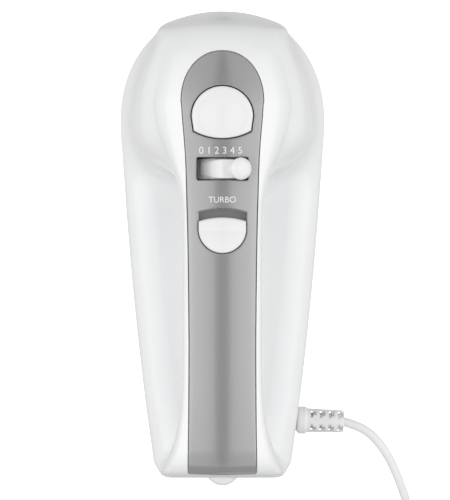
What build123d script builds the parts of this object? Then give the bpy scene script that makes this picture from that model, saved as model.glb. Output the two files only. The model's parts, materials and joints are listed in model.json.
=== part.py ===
from build123d import *
from math import acos, atan2, copysign, cos, pi, radians, sin, sqrt, tan
import os

# Hand mixer, lying on its flat belly as it does with the beater sockets down.
# Millimetres, +Z up, +Y to the nose, +X to the right seen from above with the nose away.
# The origin is under the middle of the mixer's box, on the surface that it lies on.

# ---------------------------------------------------------------- overall form
total_length = 211.0          # heel rest to the grille's front
body_half_width = 44.8        # widest, across the gearbox
heel_half_width = 29.6        # where the flanks meet the heel
handle_top = 122.0            # crest of the handle
body_top = 62.0               # flat top of the motor body, under the handle
parting_z = 42.0              # where the upper and lower housings meet
wall = 2.6
parting_gap = 0.3
nose_reach = 49.5             # nose curve, forward of its centre
nose_power = 2.2              # superellipse exponent of the nose
dome_rear_reach = 27.0
dome_power = 2.6
dome_tuck = 0.5               # the dome starts this far inside the motor body's outline
dome_top = handle_top - 2.4
belly_edge_radius = 9.0
top_edge_radius = 14.0
heel_edge_radius = 17.0
heel_corner_radius = 8.0

grille_stand = 1.3            # the grille's ribs stand this far out of the nose
grille_low = 20.0
grille_high = 40.8
grille_skin = 0.6             # the grille's band lies this far behind the nose
rib_count = 7
rib_pitch = 8.15
rib_radius = 4.7
rib_slot_half_width = 0.8
heel_rest_radius = 8.0
heel_rest_reach = 5.7         # how far the heel rest stands out behind the heel

front_y = total_length / 2
nose_y = front_y - grille_stand - nose_reach
heel_y = heel_rest_reach - total_length / 2

# ---------------------------------------------------------------- handle
grip_half_width = 17.0
grip_depth = 30.0             # top to underside of the grip
handle_power = 3.0            # superellipse exponent of the grip's section
crown_radius_long = 500.0     # gentle fall of the handle's top towards the heel
nose_fall_radius = 44.0       # how the strip falls at the nose
heel_fall_radius = 12.0
grip_underside = handle_top - grip_depth
handle_end_y = heel_y + 3.0

# ---------------------------------------------------------------- grey strip (handle cover)
cover_thickness = 1.4
cover_gap = 0.25
cover_ledge = 2.5             # width of the housing's ledge under the cover's edge
strip_nose_half_width = 17.4
strip_grip_half_width = 14.0
strip_heel_half_width = 14.6
strip_nose_reach = 22.0
strip_nose_power = 2.1
strip_nose_y = nose_y + 7.3
strip_end_y = heel_y + 3.4

# ---------------------------------------------------------------- drive train
shaft_z = 33.0                # height of the motor's axis
gear_y = nose_y + 5.3         # both beater axes
tooth_module = 1.0
wheel_teeth = 30
wheel_width = 10.0
worm_pitch_radius = 4.5
worm_length = 24.0
tooth_share = 0.30            # tooth thickness at the pitch line, as a share of the pitch
running_clearance = 0.06      # radial, every shaft in its bearing
motor_shaft_radius = 2.5
hub_radius = 6.2
upper_journal_radius = 4.5
socket_bore_radius = 3.6
socket_floor_z = 27.5
hub_bottom_z = 4.5
pin_radius = 1.9
pin_clearance = 0.4
collar_bore_radius = 5.2
socket_collar_radius = 10.0

tooth_pitch = pi * tooth_module
wheel_pitch_radius = tooth_module * wheel_teeth / 2
wheel_tip_radius = wheel_pitch_radius + tooth_module
worm_tip_radius = worm_pitch_radius + tooth_module
worm_root_radius = worm_pitch_radius - 1.2 * tooth_module
socket_x = worm_pitch_radius + wheel_pitch_radius
worm_rear_y = gear_y - worm_length / 2

# ---------------------------------------------------------------- motor
stator_width = 50.0
stator_height = 44.0
stator_length = 26.0
stator_bore_radius = 14.2
armature_radius = 13.5
motor_y = gear_y - 81.0       # middle of the stator
fan_radius = 17.0
fan_width = 10.0
fan_y = motor_y + 34.0
commutator_radius = 7.5
commutator_length = 10.0
commutator_y = motor_y - 28.0
coil_thick = 6.0              # each field winding, across X
coil_height = 5.0
coil_x = 16.0
coil_z = 14.0                 # middle of a winding's leg, above and below the shaft
coil_overhang = 5.5
bearing_radius = 5.0
bearing_width = 4.0
stator_front_y = motor_y + stator_length / 2
stator_rear_y = motor_y - stator_length / 2
rear_bearing_y = motor_y - 37.0
front_bearing_y = gear_y - 20.0
nose_bearing_y = gear_y + 19.0
rail_x = stator_width / 2 - 3.5
rail_radius = 2.4
motor_screw_head_radius = 2.3

# ---------------------------------------------------------------- gearbox
base_bottom_z = 9.0
base_thickness = 5.0
cover_plate_z = shaft_z + wheel_width / 2 + 3.3
cover_plate_thickness = 3.2
post_radius = 4.0
post_reach = wheel_tip_radius + post_radius + 1.6
post_angle = 52.0
screw_radius = 1.5
screw_head_radius = 3.0
screw_head_height = 2.0
screw_clearance = 0.15
post_dx = post_reach * cos(radians(post_angle))
post_dy = post_reach * sin(radians(post_angle))
wheel_bottom_z = shaft_z - wheel_width / 2

# ---------------------------------------------------------------- controls
button_y = nose_y + 2.3       # middle of the dish and of the rod
button_middle_y = button_y - 1.3
button_half_width = 13.4
button_length_rear = 9.6      # button's middle to its rear edge
button_side_length = 6.3      # button's middle to its rear corners
button_gap = 0.3
button_proud = 0.5
button_travel = 6.0
dish_radius = 9.2
dish_depth = 1.3
skirt_depth = button_travel + 4.0
post_depth = 14.0             # the spring seat under the button
rod_radius = 3.0
bridge_z = 58.0
bridge_thickness = 3.0
frame_plate_z = grip_underside - 3.0
frame_plate_thickness = 2.5
frame_fit = 0.3               # air between the frame and the walls
frame_screw_x = button_half_width + 6.6
frame_screw_y = gear_y + 6.0
frame_half_width = 11.0
hanger_radius = 3.0
drum_y = nose_y - 21.0
drum_radius = 12.6
drum_length = 9.1
drum_z = handle_top - 15.4
drum_axle_radius = 2.5
slot_half_width = 10.9
slot_half_length = 4.85
knob_reach = 19.9             # drum's axis to the knob's middle
knob_radius = 4.7
knob_half_height = 2.8
knob_neck_radius = 2.8
knob_rest_angle = 23.0        # the knob rests at the highest speed's mark
turbo_y = nose_y - 46.5       # centre of the button's round end
turbo_pocket_radius = 10.35
turbo_pocket_front = 7.3      # from turbo_y to the pocket's front corners
turbo_front_arc = 1.6
turbo_travel = 3.0
turbo_slack = 0.8             # pocket left over when the button is fully forward
turbo_gap = 0.3
turbo_depth = 4.2
turbo_proud = 2.6
tub_wall = 1.0
tray_z = grip_underside + wall + 0.5
tray_thickness = 2.0
stem_y = turbo_y - 4.2
stem_length = 4.8
turbo_axis_z = handle_top - 18.0
turbo_spring_length = 11.0

# ---------------------------------------------------------------- tail and cord
cord_radius = 2.0
cord_y = heel_y + 24.0        # where the cord crosses the flank
sleeve_radius = 5.15
sleeve_length = 16.5
collar_radius = 6.0
collar_length = 4.0
neck_radius = 4.6
neck_gap = 0.25
neck_length = 4.6
flange_thickness = 1.8
relief_tilt = -2.0            # degrees, the exit points a little to the rear
sleeve_slots = 4
slot_pitch = 4.0
clamp_inset = 9.8             # the clamp's middle, in from the flank
clamp_half_width = 3.5
clamp_reach = 6.5             # cord to each clamp screw
clamp_height = 8.6
board_y = heel_y + 20.0
board_z = 12.0
board_thickness = 1.6
cable_hole_y = heel_y + 7.8   # where the leads rise from the tail into the handle
housing_screw_places = ((15.0, gear_y + 22.0), (24.0, rear_bearing_y - 2.0))
housing_boss_radius = 3.9
cord_points = [
    (53.4, -76.5, 42.0),
    (59.7, -78.3, 42.0),
    (65.3, -81.6, 41.5),
    (69.9, -86.5, 40.4),
    (74.2, -93.0, 38.0),
    (78.4, -102.1, 33.6),
    (82.9, -114.3, 26.0),
    (87.2, -130.3, 14.8),
    (89.7, -148.2, 6.2),
    (89.1, -165.9, 3.1),
    (85.9, -182.6, 3.1),
]
coil_ring_radius = 24.0
coil_lane = 4.2               # between neighbouring turns
coil_band_width = 13.2        # three cords side by side, with a little air
coil_bottom_z = 1.0
coil_band_height = 8.6        # two layers
tie_width = 6.0
tie_thickness = 0.6
plug_length = 36.0
plug_width = 25.0
plug_nose_width = 8.0
plug_thickness = 13.0
plug_pin_radius = 2.0
plug_pin_length = 19.0
plug_pin_spacing = 18.6
tail_length = 15.0
inner_cord_end = 22.0         # how far inside the flank the cord's jacket ends


# ---------------------------------------------------------------- shape helpers
def super_point(half_x, half_y, power, angle):
    """A point of the superellipse |x/a|^n + |y/b|^n = 1."""
    c, s = cos(angle), sin(angle)
    return (half_x * copysign(abs(c) ** (2 / power), c), half_y * copysign(abs(s) ** (2 / power), s))


def box(x0, x1, y0, y1, z0, z1):
    """A block between two corners."""
    return Pos((x0 + x1) / 2, (y0 + y1) / 2, (z0 + z1) / 2) * Box(x1 - x0, y1 - y0, z1 - z0)


def upright(x, y, z0, z1, radius):
    """A cylinder along Z."""
    return Pos(x, y, (z0 + z1) / 2) * Cylinder(radius, z1 - z0)


def along_y(x, z, y0, y1, radius):
    """A cylinder along Y."""
    return Pos(x, (y0 + y1) / 2, z) * Rot(90, 0, 0) * Cylinder(radius, y1 - y0)


def along_x(y, z, x0, x1, radius):
    """A cylinder along X."""
    return Pos((x0 + x1) / 2, y, z) * Rot(0, 90, 0) * Cylinder(radius, x1 - x0)


def both_sides(piece):
    """The piece and its mirror image in the middle plane."""
    return [piece, mirror(piece, Plane.YZ)]


def flank_half_width(y):
    """Half width of the motor body behind the nose, full at nose_y and narrowing to the heel."""
    t = (nose_y - y) / (nose_y - heel_y)
    return body_half_width - (body_half_width - heel_half_width) * (0.52 * t + 0.48 * t * t)


def flank_slope(y):
    t = (nose_y - y) / (nose_y - heel_y)
    return (body_half_width - heel_half_width) * (0.52 + 0.96 * t) / (nose_y - heel_y)


def nose_curve(inset):
    half_x, half_y = body_half_width - inset, nose_reach - inset
    points = [super_point(half_x, half_y, nose_power, i * pi / 12) for i in range(13)]
    return Spline([(x, nose_y + y) for x, y in points], tangents=[(0, 1), (0, -1)])


def body_outline(side, heel=None):
    """Plan of the motor body, inset by side, and by heel at the heel's straight edge."""
    heel = side if heel is None else heel
    flat_y = heel_y + heel
    corner = max(heel_corner_radius - heel, 2.5)
    corner_y = flat_y + 1.1 * corner
    steps = [nose_y + (corner_y - nose_y) * i / 5 for i in range(6)]
    flank_points = [(flank_half_width(y) - side, y) for y in steps]
    flank = Spline(flank_points, tangents=[(0, -1), (-flank_slope(corner_y), -1)])
    corner_end = (flank_points[-1][0] - corner, flat_y)
    bend = Spline([flank_points[-1], corner_end], tangents=[(-flank_slope(corner_y), -1), (-1, 0)])
    flat = Line(corner_end, (-corner_end[0], flat_y))
    halves = [flank, bend, mirror(flank, Plane.YZ), mirror(bend, Plane.YZ)]
    return make_face(Curve() + [nose_curve(side), flat] + halves)


def edge_inset(z, bottom, top, bottom_radius, top_radius):
    """How far a rounded edge draws in at height z."""
    if z < bottom + bottom_radius:
        rise = (bottom + bottom_radius - z) / bottom_radius
        return bottom_radius * (1 - sqrt(max(0, 1 - rise * rise)))
    if z > top - top_radius:
        rise = (z - top + top_radius) / top_radius
        return top_radius * (1 - sqrt(max(0, 1 - rise * rise)))
    return 0


def motor_body(inset):
    """The closed motor body with rounded edges, inset all round."""
    bottom, top = inset, body_top - inset
    low_r, high_r = belly_edge_radius - inset, top_edge_radius - inset
    heel_r = heel_edge_radius - inset
    angles = [radians(a) for a in (0, 18, 36, 54, 72, 90)]
    heights = [bottom + low_r * (1 - cos(a)) for a in angles]
    middle_low, middle_high = bottom + low_r, top - high_r
    heights += [middle_low + (middle_high - middle_low) * i / 5 for i in range(1, 5)]
    heights += [middle_high + high_r * sin(a) for a in angles]
    sections = []
    for z in heights:
        side = inset + edge_inset(z, bottom, top, low_r, high_r)
        heel = inset + edge_inset(z, bottom, top, low_r, heel_r)
        sections.append(Pos(0, 0, z) * body_outline(side, heel))
    return loft(sections)


def front_dome(inset):
    """The dome over the gearbox that carries the handle's front end."""
    rise = dome_top - inset - parting_z
    sections = []
    for share in (0, 0.2, 0.38, 0.54, 0.68, 0.8, 0.9, 0.96, 0.985):
        k = (1 - share**dome_power) ** (1 / dome_power)
        half_x = (body_half_width - dome_tuck - inset) * k
        front, rear = (nose_reach - dome_tuck - inset) * k, (dome_rear_reach - inset) * k
        forward = [super_point(half_x, front, nose_power, i * pi / 10) for i in range(11)]
        backward = [super_point(half_x, rear, nose_power, pi + i * pi / 10) for i in range(11)]
        arc = Spline([(x, nose_y + y) for x, y in forward], tangents=[(0, 1), (0, -1)])
        back = Spline([(x, nose_y + y) for x, y in backward], tangents=[(0, -1), (0, 1)])
        sections.append(Pos(0, 0, parting_z + share * rise) * make_face(Curve() + [arc, back]))
    return loft(sections)


def handle_crest(y, inset=0.0):
    """Height of the handle's top line, or of the line inset below it."""
    if y > nose_y:
        return handle_top - nose_fall_radius + sqrt((nose_fall_radius - inset) ** 2 - (y - nose_y) ** 2)
    fall = max(0.0, -y) ** 2 / (2 * crown_radius_long)
    round_off = heel_fall_radius - inset
    late = min(round_off, max(0.0, handle_end_y + heel_fall_radius - y))
    return handle_top - fall - heel_fall_radius + sqrt(round_off**2 - late**2)


def handle_body(inset):
    """The grip with its two roots, as one loft along Y: (place, half width, underside)."""
    under, wide = grip_underside, grip_half_width
    roots = [
        (nose_y + 35, wide + 10, body_top - 4),
        (nose_y + 27, wide + 11, body_top - 3),
        (nose_y + 17, wide + 12.5, body_top - 2),
        (nose_y + 6, wide + 14, body_top),
        (nose_y - 4, wide + 12, body_top + 5),
        (nose_y - 11, wide + 8.5, body_top + 12),
        (nose_y - 19, wide + 4.8, body_top + 20),
        (nose_y - 27, wide + 1.8, under - 4.5),
        (nose_y - 37, wide + 0.3, under - 0.6),
        (nose_y - 56, wide, under),
        (heel_y + 60, wide, under - 0.2),
        (heel_y + 41, wide + 0.2, under - 2),
        (heel_y + 29, wide + 1.2, under - 6.5),
        (heel_y + 20, wide + 3, under - 15),
        (heel_y + 12.5, wide + 5.5, under - 28),
        (heel_y + 7, wide + 8, under - 38),
        (handle_end_y, wide + 9.5, under - 46),
    ]
    sections = []
    for y, half_width, underside in roots:
        place = y + inset * max(0.0, 1 - (y - handle_end_y) / 20)
        top = handle_crest(place, inset)
        low = underside + inset
        half_x, half_z, middle = half_width - inset, (top - low) / 2, (top + low) / 2
        ring = [super_point(half_x, half_z, handle_power, i * pi / 12) for i in range(24)]
        loop = Spline([(x, place, middle + z) for x, z in ring], periodic=True)
        sections.append(make_face(loop))
    return loft(sections)


def strip_outline(grow):
    """Plan of the grey strip: an arch at the nose, slim along the grip, square at the heel."""
    a, b = strip_nose_half_width + grow, strip_nose_reach + grow
    end_y = strip_end_y - grow
    arch = [super_point(a, b, strip_nose_power, i * pi / 12) for i in range(13)]
    nose = Spline([(x, strip_nose_y + y) for x, y in arch], tangents=[(0, 1), (0, -1)])
    waist = strip_grip_half_width + grow
    side_points = [
        (a, strip_nose_y),
        (waist + 1.4, nose_y - 15),
        (waist + 0.4, nose_y - 55),
        (waist, heel_y + 60),
        (waist + 0.2, heel_y + 26),
        (strip_heel_half_width + grow, end_y),
    ]
    side = Spline(side_points, tangents=[(0, -1), (0, -1)])
    end = Line((strip_heel_half_width + grow, end_y), (-strip_heel_half_width - grow, end_y))
    return make_face(Curve() + [nose, side, end, mirror(side, Plane.YZ)])


def strip_prism(grow, bottom):
    return Pos(0, 0, bottom) * extrude(strip_outline(grow), handle_top + 10 - bottom)


def button_outline(shrink):
    """The eject button's D shape: round in front, a flatter arc behind."""
    r, middle = button_half_width - shrink, button_middle_y
    rear_corner = (r - 0.9, middle - button_side_length + shrink)
    arch = ThreePointArc((-r, middle), (0, middle + r), (r, middle))
    side = Line((r, middle), rear_corner)
    rear_middle = (0, middle - button_length_rear + shrink)
    rear = ThreePointArc(rear_corner, rear_middle, (-rear_corner[0], rear_corner[1]))
    return make_face(Curve() + [arch, side, rear, mirror(side, Plane.YZ)])


def turbo_outline(radius, front):
    """A stadium with a round rear end and a gently arched front."""
    corner_y = turbo_y + front
    rear = ThreePointArc((-radius, turbo_y), (0, turbo_y - radius), (radius, turbo_y))
    side = Line((radius, turbo_y), (radius, corner_y))
    arch = ThreePointArc((radius, corner_y), (0, corner_y + turbo_front_arc), (-radius, corner_y))
    return make_face(Curve() + [rear, side, arch, mirror(side, Plane.YZ)])


def coil_spring(radius, wire, length, turns):
    """A helical compression spring from z = 0 to length, as one round wire."""
    free = length - 2 * wire
    path = Helix(pitch=free / turns, height=free, radius=radius)
    start = path @ 0
    section = Plane(origin=start, z_dir=path % 0) * Circle(wire)
    return Pos(0, 0, wire) * sweep(section, path=path, is_frenet=True)


def filleted_route(points):
    """Straight runs joined by arcs, each as large as its two runs allow."""
    radii = []
    for before, at, after in zip(points, points[1:], points[2:]):
        u = [b - a for a, b in zip(before, at)]
        v = [b - a for a, b in zip(at, after)]
        run_in, run_out = sqrt(sum(c * c for c in u)), sqrt(sum(c * c for c in v))
        turn = acos(sum(a * b for a, b in zip(u, v)) / run_in / run_out)
        radii.append(0.45 * min(run_in, run_out) / tan(turn / 2))
    return FilletPolyline(points, radius=radii), radii


def tube(points, radius):
    """A round solid cable along a filleted route."""
    path, radii = filleted_route(points)
    direction = Vector(*points[1]) - Vector(*points[0])
    section = Plane(origin=points[0], z_dir=direction) * Circle(radius)
    return sweep(section, path=path), path, radii


# ---------------------------------------------------------------- housings
def relief_frame():
    """Where the cord crosses the flank: +Z of this frame points out of the body."""
    x = flank_half_width(cord_y)
    out = radians(relief_tilt)
    return Plane(origin=(x, cord_y, parting_z), z_dir=(cos(out), sin(out), 0))


def relief_hole():
    return relief_frame() * Cylinder(neck_radius + neck_gap, 16)


def clamp_points():
    """The two clamp screws, either side of the cord."""
    x = flank_half_width(cord_y) - clamp_inset
    return [(x, cord_y - clamp_reach), (x, cord_y + clamp_reach)]


def housing_screw_points():
    return [(sign * x, y) for x, y in housing_screw_places for sign in (1, -1)]


def post_points():
    places = []
    for side in (1, -1):
        for end in (1, -1):
            places.append((side * (socket_x + post_dx), gear_y + end * post_dy))
    return places


def upper_housing(outer, inner, handle_skin):
    shell = (outer - inner) & box(-80, 80, -200, 200, parting_z + parting_gap, handle_top + 20)
    tongue_room = Pos(0, 0, parting_z) * extrude(body_outline(wall / 2 - 0.1), 2.4)
    shell -= tongue_room
    shell -= strip_prism(cover_gap, handle_top - 22) - handle_skin
    opening = strip_prism(-cover_ledge, handle_top - 22)
    shell -= opening & box(-50, 50, heel_y + 40, strip_nose_y + 12, 0, handle_top + 20)
    shell -= relief_hole()
    shell -= box(-5, 5, heel_y + wall + 3.4, cable_hole_y + 1.8, body_top - 6, body_top + 6)
    boss_top = handle_top + 5
    post_z = parting_z + parting_gap
    posts = [upright(x, y, post_z, boss_top, housing_boss_radius) for x, y in housing_screw_points()]
    plate_top = frame_plate_z + frame_plate_thickness
    for x in (frame_screw_x, -frame_screw_x):
        posts.append(upright(x, frame_screw_y, plate_top, boss_top, hanger_radius))
    for post in posts:
        shell += post & outer
    for x, y in housing_screw_points():
        shell -= upright(x, y, 0, parting_z + 14, screw_radius - 0.1)
    for x in (frame_screw_x, -frame_screw_x):
        shell -= upright(x, frame_screw_y, 0, plate_top + 8, screw_radius - 0.1)
    return shell


def lower_housing(body, body_inner):
    low = box(-80, 80, -200, 200, -1, parting_z)
    shell = (body - body_inner) & low
    tongue = extrude(body_outline(wall / 2 + 0.1) - body_outline(wall), 2.0)
    shell += Pos(0, 0, parting_z) * tongue
    rest = upright(0, heel_y - heel_rest_reach + heel_rest_radius, 12, parting_z - 4, heel_rest_radius)
    rest = fillet(rest.edges().filter_by(GeomType.CIRCLE), 3)
    shell += rest - body_inner
    bosses = [upright(x, y, 1, parting_z, housing_boss_radius) for x, y in housing_screw_points()]
    bosses += [upright(x, y, 1, base_bottom_z, post_radius) for x, y in post_points()]
    for y in (motor_y - 8, motor_y + 8):
        bosses.append(box(-20, 20, y - 1.5, y + 1.5, 1, shaft_z - stator_height / 2))
    bosses += [upright(x, y, 1, parting_z - cord_radius - 1, 2.6) for x, y in clamp_points()]
    for y in (board_y - 10, board_y + 10):
        bosses.append(box(-18, 18, y - 1, y + 1, 1, board_z))
    for boss in bosses:
        shell += boss & body
    for x, y in housing_screw_points():
        shell -= upright(x, y, -1, parting_z + 1, screw_radius + screw_clearance)
        shell -= upright(x, y, -1, parting_z - 18, screw_head_radius + 0.3)
    for x, y in post_points():
        shell -= upright(x, y, 3.5, base_bottom_z + 1, screw_radius - 0.1)
    for x, y in clamp_points():
        shell -= upright(x, y, 12, parting_z, 1.1)
    for x in (socket_x, -socket_x):
        shell -= upright(x, gear_y, -1, wall + 1, socket_collar_radius + 0.15)
    for i in range(6):
        y = motor_y - 22 - 5 * i
        shell -= box(-13, 13, y - 1, y + 1, -1, wall + 0.5)
    shell -= relief_hole()
    return shell - grille_zone(-0.2)


def grille_zone(shrink):
    """The window across the nose, through the wall, that the grille fills."""
    half = rib_pitch * rib_count / 2 + 0.2 - shrink
    ring = extrude(body_outline(-3) - body_outline(wall + 1.2), grille_high - grille_low - 2 * shrink)
    ring = Pos(0, 0, grille_low + shrink) * ring
    return ring & box(-half, half, nose_y + 20, front_y + 10, 0, parting_z + 5)


def front_grille():
    """Seven rounded ribs side by side, with an air slot in every valley."""
    ribs = Part()
    for i in range(rib_count):
        x = (i - (rib_count - 1) / 2) * rib_pitch
        y = nose_y + nose_reach * (1 - abs(x / body_half_width) ** nose_power) ** (1 / nose_power)
        ribs += upright(x, y + grille_stand - rib_radius, grille_low, grille_high, rib_radius)
    height = grille_high - grille_low
    inside = Pos(0, 0, grille_low) * extrude(body_outline(wall), height)
    band = Pos(0, 0, grille_low) * extrude(body_outline(grille_skin) - body_outline(wall), height)
    grille = ((ribs - inside) + band) & grille_zone(0)
    for i in range(rib_count - 1):
        x = (i - (rib_count - 2) / 2) * rib_pitch
        grille -= box(x - rib_slot_half_width, x + rib_slot_half_width, nose_y + 20, front_y + 5,
                      grille_low + wall, grille_high - wall)
    return grille


def handle_cover(handle, handle_skin):
    """The satin grey strip let into the top of the handle, with its three openings."""
    cover = (strip_prism(0, handle_top - 18) & handle) - handle_skin
    cover -= Pos(0, 0, handle_top - 22) * extrude(button_outline(0), 40)
    cover -= box(-slot_half_width, slot_half_width, drum_y - slot_half_length, drum_y + slot_half_length,
                 handle_top - 32, handle_top + 18)
    floor_z = handle_top - turbo_depth
    tub = extrude(turbo_outline(turbo_pocket_radius + tub_wall, turbo_pocket_front), 8)
    tub = (Pos(0, 0, floor_z - 1.2) * tub) & handle
    cover += tub
    cover -= Pos(0, 0, floor_z) * extrude(turbo_outline(turbo_pocket_radius, turbo_pocket_front), 20)
    cover -= box(-3.4, 3.4, stem_y - 0.5, stem_y + stem_length + turbo_travel + 0.6, floor_z - 5, floor_z + 5)
    return cover


# ---------------------------------------------------------------- controls
def eject_button(handle):
    """The D-shaped cap with a round dish, a skirt and a post for the rod."""
    skirt_z = handle_top - skirt_depth
    solid = Pos(0, 0, skirt_z) * extrude(button_outline(button_gap), 2 * skirt_depth)
    cap = solid & (Pos(0, 0, button_proud) * handle)
    cap -= Pos(0, 0, skirt_z - 1) * extrude(button_outline(button_gap + 1.8), 6.5)
    ball = (dish_radius**2 + dish_depth**2) / (2 * dish_depth)
    cap -= Pos(0, button_y, handle_crest(button_y) + button_proud + ball - dish_depth) * Sphere(ball)
    post_z = handle_top - post_depth
    cap += upright(0, button_y, post_z, skirt_z + 6, rod_radius + 1.3)
    cap += upright(0, button_y, post_z, post_z + 2, rod_radius + 3.6)
    return cap - upright(0, button_y, post_z - 1, skirt_z + 4, rod_radius)


def ejector_rod():
    """The rod from the button down to the bridge over both beater sockets."""
    top = bridge_z + bridge_thickness
    rod = upright(0, button_y, top, handle_top - skirt_depth + 3.8, rod_radius)
    rear_y = min(gear_y, button_y) - rod_radius - 1
    bridge = box(-socket_x - 4, socket_x + 4, rear_y, gear_y + 5, bridge_z, top)
    bridge = fillet(bridge.edges().filter_by(Axis.Z), 3)
    for x in (socket_x, -socket_x):
        bridge -= upright(x, gear_y, bridge_z - 1, top + 1, pin_radius)
    return bridge + rod


def ejector_pins():
    return [upright(x, gear_y, socket_floor_z + 0.5, bridge_z + bridge_thickness, pin_radius)
            for x in (socket_x, -socket_x)]


def eject_spring():
    bottom = frame_plate_z + frame_plate_thickness + 0.1
    top = handle_top - post_depth - 0.1
    return Pos(0, button_y, bottom) * coil_spring(rod_radius + 2.2, 0.5, top - bottom, 5)


def control_frame():
    """The inner frame that carries the dial's axle, the springs and the switches."""
    half = frame_half_width
    rear_end = turbo_y - 18.2
    riser_y = drum_y - drum_length / 2 - 3.6
    front_riser_y = drum_y + drum_length / 2 + 1
    plate_top, plate_front = frame_plate_z + frame_plate_thickness, frame_screw_y + 6
    ear = frame_screw_x + 4
    frame = box(-ear, ear, frame_screw_y - 6, plate_front, frame_plate_z, plate_top)
    frame += box(-half - 3, half + 3, riser_y, plate_front, frame_plate_z, plate_top)
    frame += box(-half, half, riser_y, riser_y + 3, frame_plate_z, drum_z + 5)
    frame += box(-half, half, front_riser_y, front_riser_y + 2.6, frame_plate_z, drum_z + 5)
    frame += box(-half, half, rear_end, riser_y + 3, tray_z, tray_z + tray_thickness)
    seat_y = stem_y + stem_length + 0.1 + turbo_spring_length + 0.1
    frame += box(-6, 6, seat_y, seat_y + 2, tray_z, turbo_axis_z + 4)
    frame -= upright(0, button_y, 0, handle_top, rod_radius + 0.4)
    frame -= along_y(0, drum_z, riser_y - 1, front_riser_y + 5, drum_axle_radius + running_clearance)
    for x in (frame_screw_x, -frame_screw_x):
        frame -= upright(x, frame_screw_y, 0, handle_top, screw_radius + screw_clearance)
    return frame & handle_body(wall + frame_fit)


def frame_screws():
    seat, top = frame_plate_z - 0.1, frame_plate_z + frame_plate_thickness + 6
    screws = []
    for x in (frame_screw_x, -frame_screw_x):
        shank = upright(x, frame_screw_y, seat, top, screw_radius - 0.1)
        head = upright(x, frame_screw_y, seat - screw_head_height, seat, screw_head_radius)
        screws.append(shank + head)
    return screws


def speed_dial():
    """The rotary speed drum, with a round knob on a short neck."""
    half_length = drum_length / 2
    drum = along_y(0, drum_z, drum_y - half_length, drum_y + half_length, drum_radius)
    axle = along_y(0, drum_z, drum_y - half_length - 3.4, drum_y + half_length + 3.4, drum_axle_radius)
    turn = Pos(0, drum_y, drum_z) * Rot(0, knob_rest_angle, 0)
    neck_length = knob_reach - drum_radius + 2
    neck = turn * Pos(0, 0, knob_reach - neck_length / 2) * Cylinder(knob_neck_radius, neck_length)
    r, h = knob_radius, knob_half_height
    rim = [(0, h), (0.72 * r, 0.7 * h), (r, 0), (0.72 * r, -0.7 * h), (0, -h)]
    profile = Spline(rim, tangents=[(1, 0), (-1, 0)])
    half = make_face(Curve() + [profile, Line((0, -h), (0, h))])
    knob = revolve(Plane.XZ * half, Axis.Z)
    return drum + axle + neck + turn * Pos(0, 0, knob_reach) * knob


def speed_contact():
    """A brass wiper arc on the drum's front face."""
    y = drum_y + drum_length / 2
    arc = along_y(0, drum_z, y + 0.02, y + 0.6, 10.5) - along_y(0, drum_z, y, y + 0.7, 8.5)
    return arc & box(-12, 12, y - 1, y + 2, drum_z - 12, drum_z - 1)


def speed_switch():
    """The contact block under the drum."""
    top = drum_z - drum_radius - 0.5
    return box(-11, 11, drum_y - 4, drum_y + 4, frame_plate_z + frame_plate_thickness, top)


def turbo_button():
    """A thumb slider with a raised ridge across its front third."""
    radius = turbo_pocket_radius - turbo_gap
    front = turbo_pocket_front - turbo_travel - turbo_slack
    floor_z = handle_top - turbo_depth + 0.2
    block = Pos(0, 0, floor_z) * extrude(turbo_outline(radius, front), 12)
    rear_y, edge_y = turbo_y - radius - 1, turbo_y + front + turbo_front_arc + 1
    ridge = (turbo_y - 0.6, handle_top + turbo_proud)
    low_z = handle_top + 0.2
    back = ThreePointArc((rear_y, low_z), ((rear_y + ridge[0]) / 2, low_z + 0.5), ridge)
    nose = ThreePointArc(ridge, ((ridge[0] + edge_y) / 2, ridge[1] - 0.6), (edge_y, low_z + 0.3))
    under = Polyline((edge_y, low_z + 0.3), (edge_y, floor_z), (rear_y, floor_z), (rear_y, low_z))
    side = make_face(Curve() + [back, nose, under])
    button = block & (Pos(-20, 0, 0) * extrude(Plane.YZ * side, 40))
    stem = box(-3, 3, stem_y, stem_y + stem_length, turbo_axis_z - 3.5, floor_z)
    return button + stem


def turbo_spring():
    """Pushes the slider back when the thumb lets go."""
    start = stem_y + stem_length + 0.1
    return Pos(0, start, turbo_axis_z) * Rot(-90, 0, 0) * coil_spring(2.4, 0.4, turbo_spring_length, 6)


def turbo_switch():
    """A small snap switch behind the slider's stem."""
    block = box(-5, 5, stem_y - 16, stem_y - 3, tray_z + tray_thickness, turbo_axis_z + 3)
    return block + along_y(0, turbo_axis_z, stem_y - 3, stem_y - 0.3, 1.2)


# ---------------------------------------------------------------- motor
def motor_stator():
    """The laminated stack, with room for both field windings and their screws."""
    stack = box(-stator_width / 2, stator_width / 2, stator_rear_y, stator_front_y,
                shaft_z - stator_height / 2, shaft_z + stator_height / 2)
    stack = fillet(stack.edges().filter_by(Axis.Y), 8)
    rear, front = stator_rear_y - 1, stator_front_y + 1
    stack -= along_y(0, shaft_z, rear, front, stator_bore_radius)
    room = 0.3
    for x in (coil_x, -coil_x):
        for z in (shaft_z + coil_z, shaft_z - coil_z):
            half_x, half_z = coil_thick / 2 + room, coil_height / 2 + room
            stack -= box(x - half_x, x + half_x, rear, front, z - half_z, z + half_z)
    for x in (rail_x, -rail_x):
        stack -= along_y(x, shaft_z, rear, front, screw_radius + screw_clearance)
    return stack


def field_windings():
    """One copper loop round each pole."""
    outer_y = stator_length / 2 + coil_overhang
    inner_y = stator_length / 2 + 0.5
    outer_z, inner_z = coil_z + coil_height / 2, coil_z - coil_height / 2
    loop = box(coil_x - coil_thick / 2, coil_x + coil_thick / 2, motor_y - outer_y, motor_y + outer_y,
               shaft_z - outer_z, shaft_z + outer_z)
    loop = fillet(loop.edges().filter_by(Axis.X), 3)
    loop -= box(0, coil_x + coil_thick, motor_y - inner_y, motor_y + inner_y,
                shaft_z - inner_z, shaft_z + inner_z)
    return both_sides(loop)


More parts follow.
